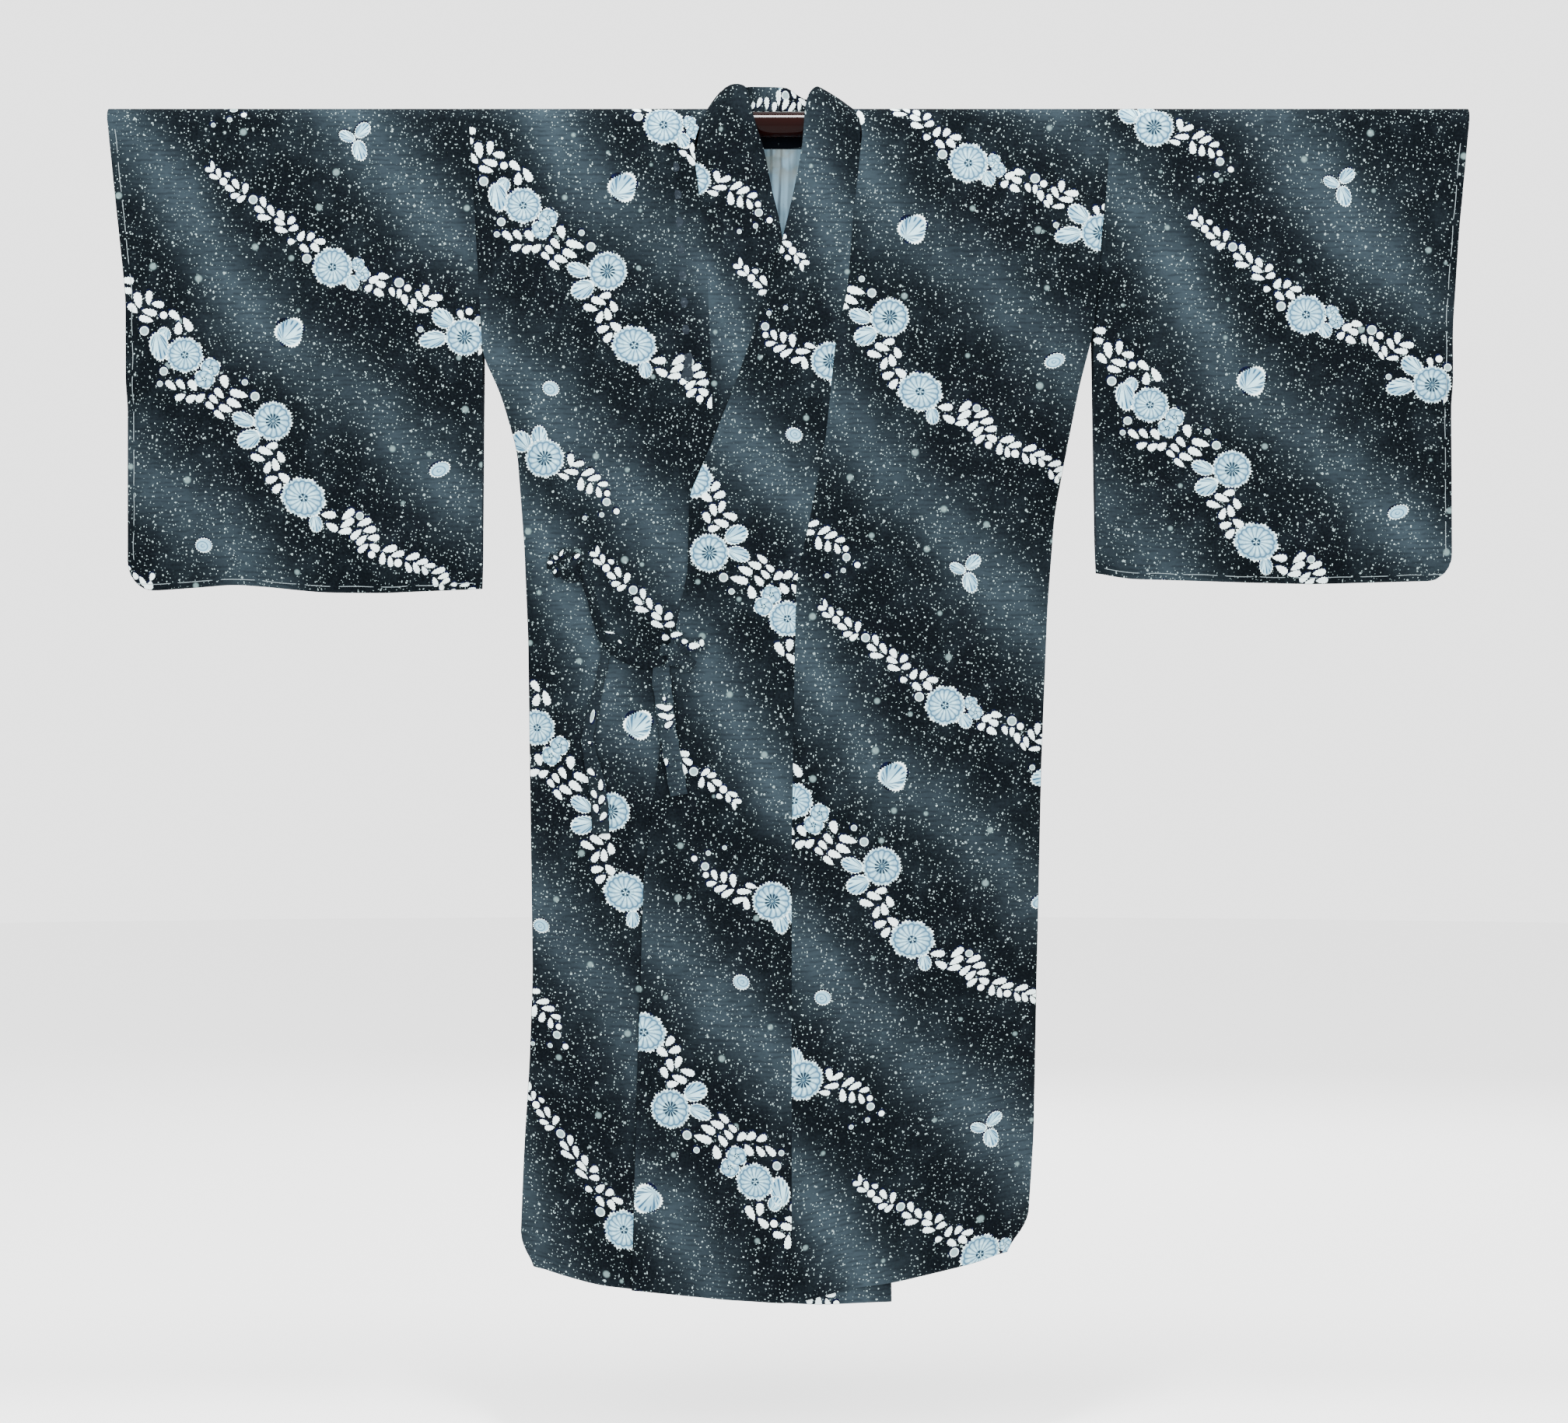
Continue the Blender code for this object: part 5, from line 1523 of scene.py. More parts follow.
@dataclass(frozen=True)
class CrepeFinish:
    """Printed crepe: spatter, smoky bands, weft ribs with painted shading in their grooves, and the inks of
    the motifs.
    """

    roughness: float = 0.82
    rib_pitch: float = 0.0046

    def weave(self, nodes: Nodes, depth: float = 0.00018) -> Reading:
        """Bump the shader with weft ribs and crinkle, and return how low each place lies.

        Args:
            nodes: The material being built.
            depth: Depth of the ribs.

        Returns:
            Rib value from 0 to 1, which the ground, wrong side, leaf ink and navy ink use to paint shading
            into the grooves.
        """
        along = nodes.split(nodes.flat())[1] + nodes.noise(95.0) * 0.0030
        rib = (along * (2 * math.pi / self.rib_pitch)).sine() * 0.5 + 0.5
        rib = rib * nodes.noise((70.0, 220.0), 1.0).step(0.35, 0.62)
        nodes.bump(nodes.noise((900.0, 1500.0)) * 0.6 - rib, 0.55, depth)
        return rib

    def woven(self, name: str) -> Nodes:
        """Start a material that has the weave's bump."""
        nodes = Nodes(name)
        self.weave(nodes)
        return nodes

    def dots(self, nodes: Nodes, place: object, cell: float, high: float, share: object,
             shift: float) -> Reading:
        """Scatter round dots, one at most in each cell.

        Args:
            nodes: The material being built.
            place: Place on the cloth.
            cell: Size of a cell in metres.
            high: Largest radius in cells.
            share: Share of the cells that have a dot.
            shift: Offset that tells one layer from another.

        Returns:
            Cover from 0 to 1.
        """
        feeds = {"Vector": nodes.mapped(place, (1.0 / cell, 1.0 / cell), 0.3, shift), "Scale": 1.0}
        made = nodes.node("TexVoronoi", feeds, voronoi_dimensions="2D", feature="F1")
        red, green = nodes.split(made.outputs["Color"], "SeparateColor")
        cover = (red * (high - 0.03) + 0.03 - made.outputs["Distance"]).step(-0.02, 0.03)
        return cover * green.reckon("LESS_THAN", share)

    def smoke(self, nodes: Nodes) -> Reading:
        """How smoky each place is: the charted bands, mottled, and a faint haze elsewhere."""
        bands = Reading(nodes, nodes.node("Attribute", attribute_name="smoke").outputs["Fac"])
        bands = bands * (nodes.noise(11.0, 3.0) * 1.2 + 0.34)
        haze = nodes.noise(30.0, 4.0).step(0.40, 0.80) * 0.14
        return (bands + haze + (nodes.noise(420.0) - 0.46) * 0.22).reckon("MAXIMUM", 0.0, clamp=True)

    def ground(self, name: str) -> Material:
        """Make the dark ground with its smoky bands and spatter, and painted shading in the ribs' grooves.
        """
        nodes = Nodes(name)
        base = nodes.mix(self.smoke(nodes), PALETTE.night, PALETTE.smoke)
        # Painted shading: darker where the weft ribs lie low.
        base = nodes.mix(self.weave(nodes) * 0.40, base, PALETTE.dark_ink_and_painted_shade)
        flat = nodes.flat()
        shake = nodes.node("TexNoise", {"Vector": flat, "Scale": 700.0}, noise_dimensions="2D")
        feeds = {0: shake.outputs["Color"], 1: (0.0016, 0.0016, 0.0), 2: flat}
        rough = nodes.node("VectorMath", feeds, operation="MULTIPLY_ADD").outputs[0]
        crowd = nodes.noise(70.0, 1.0) * 0.9
        fine = self.dots(nodes, rough, 0.0035, 0.150, crowd, 3.1)
        more = self.dots(nodes, rough, 0.0058, 0.140, crowd, 11.7)
        streak = self.dots(nodes, nodes.mapped(rough, (1.0, 0.30), 0.9), 0.0044, 0.110, 0.20, 5.3)
        spatter = fine.over(more).over(streak) * (nodes.noise(180.0, 1.0) * 1.5 - 0.08)
        base = nodes.mix(spatter, base, PALETTE.spatter)
        base = nodes.mix(self.dots(nodes, rough, 0.0130, 0.100, 0.30, 23.9) * 0.55, base, PALETTE.spatter)
        base = nodes.mix(self.dots(nodes, flat, 0.047, 0.075, 0.36, 41.3) * 0.70, base, PALETTE.disc)
        return nodes.finish(base, self.roughness)

    def reverse(self, name: str) -> Material:
        """Make the plain wrong side of the crepe, with painted shading in the ribs' grooves."""
        nodes = Nodes(name)
        base = nodes.mix(self.smoke(nodes) * 0.6, (0.012, 0.016, 0.021), PALETTE.smoke)
        # Painted shading: darker where the weft ribs lie low.
        base = nodes.mix(self.weave(nodes) * 0.3, base, PALETTE.dark_ink_and_painted_shade)
        base = nodes.mix(nodes.noise(300.0).step(0.58, 0.74), base, (0.05, 0.062, 0.072))
        return nodes.finish(base, self.roughness)

    def leaf(self, name: str) -> Material:
        """Make the pale leaf ink, with painted shading in the ribs' grooves."""
        nodes = Nodes(name)
        base = nodes.mix(nodes.noise(130.0, 3.0).step(0.30, 0.75), PALETTE.leaf, (0.570, 0.690, 0.710))
        # Painted shading: darker where the weft ribs lie low.
        base = nodes.mix(self.weave(nodes) * 0.16, base, (0.40, 0.48, 0.50))
        return nodes.finish(base, self.roughness)

    def pearl(self, name: str) -> Material:
        """Make the small white dots of the garlands."""
        nodes = self.woven(name)
        return nodes.finish(nodes.mix(nodes.noise(400.0), (0.76, 0.85, 0.82), PALETTE.leaf), self.roughness)

    def disc(self, name: str) -> Material:
        """Make the grey discs with their pale rims."""
        nodes = self.woven(name)
        base = nodes.mix(nodes.noise(500.0), PALETTE.disc, (0.20, 0.29, 0.31))
        base = nodes.mix(self.polar(nodes)[0].step(0.68, 0.84), base, (0.48, 0.60, 0.59))
        return nodes.finish(base, self.roughness)

    def halo(self, name: str) -> Material:
        """Make the navy ink that shows around the motifs, and the plain dark of the collar's patch, which
        is a painted shadow under the rod.
        """
        nodes = Nodes(name)
        outside = self.polar(nodes)[0].step(0.90, 1.0)
        # Navy mottles only outside a motif's edge; inside the collar's patch it stays plain dark, a painted
        # shadow under the rod.
        base = nodes.mix(nodes.noise(260.0).step(0.38, 0.66) * outside, PALETTE.dark_ink_and_painted_shade, PALETTE.navy)
        # Painted shading: darker where the weft ribs lie low.
        base = nodes.mix(self.weave(nodes) * 0.4, base, PALETTE.dark_ink_and_painted_shade)
        return nodes.finish(base, self.roughness)

    def polar(self, nodes: Nodes) -> tuple[Reading, Reading]:
        """Distance from a motif's middle and angle round it, in the motif's own measure."""
        u, v = nodes.split(nodes.flat("motif"))
        return (u * u + v * v).reckon("SQRT"), v.reckon("ARCTAN2", u)

    def rays(self, angle: Reading, count: int, width: float, sway: object = 0.0) -> Reading:
        """Thin lines out from the middle, 1 on a line and 0 between."""
        part = (angle * (count / (2 * math.pi)) + sway + 50.0).reckon("FRACT")
        return (part - 0.5).size().step(width, 0.0)

    def flower(self, name: str, petals: int, heart: float, stars: int, rim: float) -> Material:
        """Make a round flower with drawn petals.

        Args:
            name: Name of the material.
            petals: Number of petals.
            heart: Radius of the middle.
            stars: Number of dark strokes round the middle, or 0 for dots.
            rim: Where the outer ring of small petals starts.

        Returns:
            The material.
        """
        nodes = self.woven(name)
        reach, angle = self.polar(nodes)
        base = nodes.mix(nodes.noise(210.0).step(0.30, 0.70), PALETTE.petal, PALETTE.pale_petal)
        ring = reach.step(rim - 0.22, rim - 0.06) * reach.step(rim + 0.08, rim)
        base = nodes.mix(ring, base, PALETTE.petal)
        scalloped = reach - (angle * (petals / 2)).sine().size() * 0.07
        lines = self.rays(angle, petals, 0.36, reach * 0.55)
        lines = lines * reach.step(heart, heart + 0.06) * scalloped.step(rim, rim - 0.04)
        outer = self.rays(angle, petals * 2, 0.30) * reach.step(rim + 0.04, rim + 0.10) * 0.8
        ink = lines.over(scalloped.line(rim - 0.03, 0.080)).over(reach.line(heart, 0.060)).over(outer)
        base = nodes.mix(ink * 0.80, base, PALETTE.vein)
        if stars:
            dark = (self.rays(angle, stars, 0.46) * 2.0 + 0.08) * reach.step(0.46, 0.30)
        else:
            dark = self.rays(angle, 5, 0.40) * 2.4 * reach.line(heart * 0.70, 0.13)
        base = nodes.mix(dark, base, (0.006, 0.014, 0.024))
        base = nodes.mix(reach.step(0.94, 1.02), base, PALETTE.leaf)
        return nodes.finish(base, self.roughness)

    def lobe(self, name: str, stem: float, parts: int) -> Material:
        """Make a side petal or a fan, with veins that run out from its stem.

        Args:
            name: Name of the material.
            stem: How far the stem is from the middle.
            parts: Number of parts in a full turn round the stem.

        Returns:
            The material.
        """
        nodes = self.woven(name)
        u, v = nodes.split(nodes.flat("motif"))
        reach, _ = self.polar(nodes)
        angle = v.reckon("ARCTAN2", u + stem)
        ink = self.rays(angle, 24, 0.34, 0.5) * reach.step(0.40, 0.62) * reach.step(0.92, 0.80)
        ink = ink.over(self.rays(angle, parts, 0.15, 0.5) * reach.step(0.92, 0.82))
        half = (v + u * 0.3).step(-0.1, 0.25)
        base = nodes.mix(half, PALETTE.pale_petal if parts > 7 else PALETTE.petal, PALETTE.petal)
        base = nodes.mix(ink, base, PALETTE.vein)
        base = nodes.mix(reach.step(0.90, 1.0), base, PALETTE.leaf)
        return nodes.finish(base, self.roughness)

    def bud(self, name: str) -> Material:
        """Make the bud, with petals that close round each other."""
        nodes = self.woven(name)
        reach, angle = self.polar(nodes)
        turned = (angle + 0.8).sine() * 0.22 + reach
        ink = (turned * 13.0).sine().step(0.35, 0.90)
        base = nodes.mix(ink * 0.70, PALETTE.petal, PALETTE.vein)
        base = nodes.mix(reach.step(0.88, 0.98), base, PALETTE.leaf)
        return nodes.finish(base, self.roughness)

    def inks(self) -> list[Material]:
        """Make one material for each kind of printed shape, in the kinds' order."""
        return [
            self.halo("navy_ink_and_painted_collar_shadow"), self.leaf("leaf_ink"), self.disc("grey_disc_ink"),
            self.lobe("side_petal_ink", 1.15, 9), self.flower("blossom_ink", 5, 0.24, 0, 0.82),
            self.bud("bud_ink"), self.lobe("fan_ink", 0.75, 9), self.flower("mum_ink", 16, 0.17, 0, 0.80),
            self.flower("wheel_ink", 14, 0.11, 12, 0.82), self.pearl("pearl_ink"),
        ]


@dataclass(frozen=True)
class LiningFinish:
    """Thin pale silk with a faint plain weave, dark lines of painted shading along the tucks' creases, and
    light stains.
    """

    roughness: float = 0.48

    def make(self) -> Material:
        """Build the material."""
        nodes = Nodes("pale_silk")
        across, along = nodes.split(nodes.flat())
        threads = nodes.noise((2600.0, 700.0), 1.0)
        nodes.bump(threads, 0.35, 0.0001)
        base = nodes.mix(nodes.noise((95.0, 9.0)).step(0.40, 0.66), PALETTE.lining, PALETTE.lining_light)
        # Painted shading: dark lines along the creases of the lining's tucks.
        painted_pleat_shading = (across + along * 0.05).line(-0.0035, 0.0018)
        painted_pleat_shading = painted_pleat_shading.over((across + along * 0.03).line(-0.0141, 0.0022))
        base = nodes.mix(painted_pleat_shading * 0.9, base, PALETTE.lining_thread_tone_and_painted_shade)
        stain = (along - QUARTER_TURN).step(0.062, 0.040) * nodes.noise(60.0).step(0.35, 0.60)
        base = nodes.mix(stain * 0.6, base, (0.17, 0.19, 0.16))
        base = nodes.mix(threads * 0.25, base, PALETTE.lining_thread_tone_and_painted_shade)
        return nodes.finish(base, self.roughness, 0.10, 0.30)


@dataclass(frozen=True)
class LacquerFinish:
    """Red-brown lacquer, polished, with faint cloudiness and rub marks."""

    roughness: float = 0.05

    def make(self) -> Material:
        """Build the material."""
        nodes = Nodes("red_brown_lacquer")
        place = nodes.node("TexCoord").outputs["Object"]
        cloud = nodes.noise((6.0, 60.0, 60.0), 2.0, place)
        worn = nodes.noise((90.0, 500.0, 500.0), 2.0, place)
        base = nodes.mix(cloud, (0.0018, 0.0003, 0.0002), (0.0080, 0.0011, 0.0008))
        return nodes.finish(base, worn * (self.roughness * 1.4) + self.roughness * 0.8, 0.0, 0.06)


@dataclass(frozen=True)
class ThreadFinish:
    """Loose white basting thread."""

    roughness: float = 0.7

    def make(self) -> Material:
        """Build the material."""
        nodes = Nodes("basting_thread")
        fleck = nodes.noise(900.0, 2.0, nodes.node("TexCoord").outputs["Object"])
        return nodes.finish(nodes.mix(fleck, (0.16, 0.20, 0.21), PALETTE.thread), self.roughness)


@dataclass
class Rod:
    """The lacquered rod, turned round and smooth, with eased ends."""

    radius: float = ROD_RADIUS
    length: float = 1.264
    ease: float = 0.0008
    spokes: int = 96

    def make(self, finish: Material) -> None:
        """Turn the rod.

        Args:
            finish: Its lacquer.
        """
        half = self.length / 2
        profile = [(-half, self.radius - self.ease),
                   (-half + 0.3 * self.ease, self.radius - 0.3 * self.ease),
                   (-half + self.ease, self.radius)]
        profile += [(share * half, self.radius) for share in (-0.5, 0.0, 0.5)]
        profile += [(-x, radius) for x, radius in reversed(profile[:3])]
        angles = np.linspace(0.0, 2 * math.pi, self.spokes, endpoint=False)
        points = [(x, radius * math.cos(a), radius * math.sin(a)) for x, radius in profile for a in angles]
        faces = []
        for ring in range(len(profile) - 1):
            for k in range(self.spokes):
                after = (k + 1) % self.spokes
                a, b = ring * self.spokes, (ring + 1) * self.spokes
                faces.append((a + k, b + k, b + after, a + after))
        faces.append(list(range(self.spokes)))
        faces.append([(len(profile) - 1) * self.spokes + k for k in reversed(range(self.spokes))])
        mesh = bpy.data.meshes.new("rod")
        mesh.from_pydata(points, [], faces)
        mesh.shade_smooth()
        mesh.polygons.foreach_set("use_smooth", [True] * (len(faces) - 2) + [False] * 2)
        mesh.materials.append(finish)
        item = in_scene("lacquered_rod", mesh)
        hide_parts("rod")
        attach(item, "root")
        LOG.info("%s: %d faces", item.name, len(faces))


@dataclass
class Wardrobe:
    """The materials that the pieces share: the crepe's ground, wrong side and inks, and the rest."""

    crepe: list[Material]
    lining: Material
    lacquer: Material
    thread: Material

    @classmethod
    def dyed(cls) -> "Wardrobe":
        """Make every finish once."""
        crepe = CrepeFinish()
        return cls([crepe.ground("printed_crepe_ground"), crepe.reverse("crepe_wrong_side"), *crepe.inks()],
                   LiningFinish().make(), LacquerFinish().make(), ThreadFinish().make())


class ClothMaker:
    """Cuts flat cloth into triangles along its print, hangs it and joins its faces with a rim."""

    def __init__(self, wardrobe: Wardrobe, panels: Sequence[Panel], prints: Sequence[Print]) -> None:
        """Gather what the piece is made from.

        Args:
            wardrobe: Materials.
            panels: Flat outline and hang of each layer of the piece.
            prints: The print of each layer.
        """
        self.wardrobe = wardrobe
        self.panels = panels
        self.prints = prints
        self.columns: dict[str, list[Array]] = {key: [] for key in ("point", "normal", "flat", "smoke")}
        self.faces: list[Sequence[int]] = []
        self.kind: list[int] = []
        self.side: list[int] = []
        self.layer: list[int] = []
        self.shape: list[Optional[InkShape]] = []
        self.count = 0

    def add_corners(self, points: Array, normals: Array, flat: Array, smoke: Array) -> int:
        """Add corners and return the number of the first."""
        for key, rows in zip(self.columns, (points, normals, flat, smoke)):
            self.columns[key].append(rows)
        self.count += len(points)
        return self.count - len(points)

    def add_face(self, corners: Sequence[int], layer: int, side: int, kind: int = 0,
                 shape: Optional[InkShape] = None) -> None:
        """Add a face with what it shows."""
        self.faces.append(corners)
        self.layer.append(layer)
        self.side.append(side)
        self.kind.append(kind)
        self.shape.append(shape)

    def cut(self, layer: int, edge: Array, outer: bool) -> tuple[Array, Array, list, list[InkShape]]:
        """Triangulate one face of the flat cloth along its print.

        Args:
            layer: Number of the panel.
            edge: Its outline.
            outer: Whether it is the outer face.

        Returns:
            Flat corners, triangles, what lies under each triangle, and the printed shapes.
        """
        panel = self.panels[layer]
        rings = [list(range(len(edge)))]
        step = panel.grid if outer else 2 * panel.grid
        places = np.concatenate([edge, panel.inside_points(step)]).tolist()
        low, high = edge.min(axis=0), edge.max(axis=0)
        shapes = [shape for shape in self.prints[layer].shapes
                  if low[0] - shape.long < shape.x < high[0] + shape.long
                  and low[1] - shape.long < shape.path < high[1] + shape.long]
        for shape in shapes if outer or panel.printed_inside else ():
            for ring in (shape.halo(), shape.outline()):
                rings.append(list(range(len(places), len(places) + len(ring))))
                places += ring
        found = delaunay_2d_cdt([Vector(place) for place in places], [], rings, 1, 1e-7, True)
        kept = [index for index, origins in enumerate(found[5]) if 0 in origins]
        triangles = np.array([found[2][index] for index in kept])
        used, triangles = np.unique(triangles, return_inverse=True)
        flat = np.array([tuple(point) for point in found[0]])[used]
        return flat, triangles.reshape(-1, 3), [found[5][index] for index in kept], shapes

    def add_face_side(self, layer: int, edge: Array, outer: bool) -> dict[int, int]:
        """Add the outer or the inner face of a layer.

        Args:
            layer: Number of the panel.
            edge: Its outline.
            outer: Whether it is the outer face.

        Returns:
            The border, as each corner's next one.
        """
        panel = self.panels[layer]
        flat, corners, under, shapes = self.cut(layer, edge, outer)
        points = panel.hang(flat[:, 0], flat[:, 1])
        facing = panel.facing(flat[:, 0], flat[:, 1])
        if not outer:
            points, facing = points - facing * panel.thickness, -facing
        smoke = self.prints[layer].smoke(flat[:, 0], flat[:, 1])
        shift = self.add_corners(points, facing, flat, smoke)
        a, b, c = (flat[corners[:, k]] for k in range(3))
        area = (b[:, 0] - a[:, 0]) * (c[:, 1] - a[:, 1]) - (b[:, 1] - a[:, 1]) * (c[:, 0] - a[:, 0])
        corners[area < 0] = corners[area < 0][:, [0, 2, 1]]
        starts, ends = corners.ravel(), np.roll(corners, -1, axis=1).ravel()
        keys = set((starts * len(flat) + ends).tolist())
        rank = [(0, None)]
        for shape in shapes:
            rank += [(Kind.HALO.value, shape), (shape.kind.value, shape)]
        for face, origins in zip(((corners if outer else corners[:, ::-1]) + shift).tolist(), under):
            kind, shape = max((rank[origin] for origin in origins), key=lambda pair: pair[0])
            self.add_face(face, layer, 0 if outer else 1, kind, shape)
        return {s + shift: e + shift for s, e in zip(starts.tolist(), ends.tolist())
                if e * len(flat) + s not in keys}

    @staticmethod
    def border(follow: dict[int, int], start: int) -> list[int]:
        """Walk round a border from a corner."""
        found, at = [start], follow[start]
        while at != start and len(found) <= len(follow):
            found.append(at)
            at = follow[at]
        return found

    def add_rim(self, layer: int, edge: Array, follows: tuple[dict[int, int], dict[int, int]]) -> None:
        """Join both faces of a layer with a rounded rim.

        Args:
            layer: Number of the panel.
            edge: Its outline.
            follows: Border of the outer face and of the inner face.
        """
        points, flat = (np.concatenate(self.columns[key]) for key in ("point", "flat"))
        number = {tuple(place): index for index, place in enumerate(np.round(edge, 6).tolist())}
        marks, borders = [], []
        for follow in follows:
            at = {tuple(place): corner for corner, place in
                  zip(follow, np.round(flat[list(follow)], 6).tolist())}
            start = at[tuple(np.round(edge[0], 6).tolist())]
            border = self.border(follow, start)
            borders.append(border)
            marks.append({number[key]: place for place, corner in enumerate(border)
                          if (key := tuple(np.round(flat[corner], 6).tolist())) in number})
        shared = sorted(set(marks[0]) & set(marks[1]))
        outer, inner = (points[[border[mark[i]] for i in shared]] for border, mark in zip(borders, marks))
        middle = (outer + inner) / 2
        away = np.cross(inner - outer, np.roll(middle, -1, axis=0) - np.roll(middle, 1, axis=0))
        away /= np.maximum(np.linalg.norm(away, axis=1, keepdims=True), 1e-12)
        bulge = middle + away * self.panels[layer].thickness * RIM_BULGE
        smoke = self.prints[layer].smoke(edge[shared][:, 0], edge[shared][:, 1])
        shift = self.add_corners(bulge, away, edge[shared], smoke)
        for k, index in enumerate(shared):
            after = (k + 1) % len(shared)
            chains = []
            for border, mark in zip(borders, marks):
                start, end = mark[index], mark[shared[after]]
                chains.append(border[start:end + 1] if end > start else border[start:] + border[:end + 1])
            self.add_face((*chains[0][::-1], shift + k, shift + after), layer, 2)
            self.add_face((shift + after, shift + k, *chains[1]), layer, 2)

    def make(self, name: str, node: str) -> bpy.types.Object:
        """Cut, hang and print the cloth.

        Args:
            name: Name of the piece.
            node: CAD node that it stands for.

        Returns:
            The piece.
        """
        for layer, panel in enumerate(self.panels):
            edge = panel.outline()
            follows = self.add_face_side(layer, edge, True), self.add_face_side(layer, edge, False)
            self.add_rim(layer, edge, follows)
        mesh = bpy.data.meshes.new(name)
        mesh.from_pydata(np.concatenate(self.columns["point"]).tolist(), [], self.faces)
        self.paint(mesh)
        item = in_scene(name, mesh)
        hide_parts(node)
        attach(item, "root")
        LOG.info("%s: %d faces", name, len(self.faces))
        return item

    def paint(self, mesh: bpy.types.Mesh) -> None:
        """Give the mesh its materials, maps, smoke and smooth facing.

        Args:
            mesh: The mesh.
        """
        plain = self.panels[0].plain
        for material in [self.wardrobe.lining] if plain else self.wardrobe.crepe:
            mesh.materials.append(material)
        kind, side, layer = (np.array(column) for column in (self.kind, self.side, self.layer))
        inside = np.array([panel.printed_inside for panel in self.panels])[layer]
        wrong_side = (side == 1) & (kind == 0) & ~inside
        chosen = np.where(kind > 0, 1 + kind, wrong_side.astype(int))
        mesh.polygons.foreach_set("material_index", (chosen * (not plain)).astype(np.int32))
        flat = np.concatenate(self.columns["flat"])
        loops = np.zeros(len(mesh.loops), dtype=np.int32)
        mesh.loops.foreach_get("vertex_index", loops)
        owner = np.repeat(np.arange(len(self.faces)), [len(face) for face in self.faces])
        places = flat[loops]
        own = np.zeros((len(loops), 2))
        by_shape: dict[int, list[int]] = {}
        for corner, face in enumerate(owner.tolist()):
            if self.shape[face] is not None:
                by_shape.setdefault(id(self.shape[face]), []).append(corner)
        for corners in by_shape.values():
            own[corners] = self.shape[owner[corners[0]]].own(places[corners, 0], places[corners, 1])
        maps = {"cloth": places, "motif": own, "OFBake": self.laid_out(places, owner)}
        for name, rows in maps.items():
            mesh.uv_layers.new(name=name).data.foreach_set("uv", rows.astype(np.float32).ravel())
        smoke = np.concatenate(self.columns["smoke"]).astype(np.float32)
        mesh.attributes.new("smoke", "FLOAT", "POINT").data.foreach_set("value", smoke)
        mesh.shade_smooth()
        mesh.normals_split_custom_set(np.concatenate(self.columns["normal"])[loops].tolist())

    def laid_out(self, places: Array, owner: Array) -> Array:
        """Lay every face side by side in one square: front and back, outer and inner.

        Args:
            places: Flat place of each corner.
            owner: Face of each corner.

        Returns:
            Places in the square.
        """
        layer, side = np.array(self.layer)[owner], np.array(self.side)[owner]
        middle = np.zeros(len(self.faces))
        np.add.at(middle, owner, places[:, 1])
        middle = (middle / np.bincount(owner, minlength=len(self.faces)))[owner]
        square = np.zeros_like(places)
        left, tallest = 0.0, 0.0
        for number, panel in enumerate(self.panels):
            split = sum(panel.ends()) / 2
            for inner in (False, True):
                for behind in (False, True):
                    at = (layer == number) & ((side == 1) == inner) & ((middle > split) == behind)
                    if not at.any():
                        continue
                    low, high = places[at].min(axis=0), places[at].max(axis=0)
                    gap = 0.02 * (high - low).max()
                    square[at] = places[at] - low + (left + gap, gap)
                    left += high[0] - low[0] + 2 * gap
                    tallest = max(tallest, high[1] - low[1] + 2 * gap)
        return square / max(left, tallest)


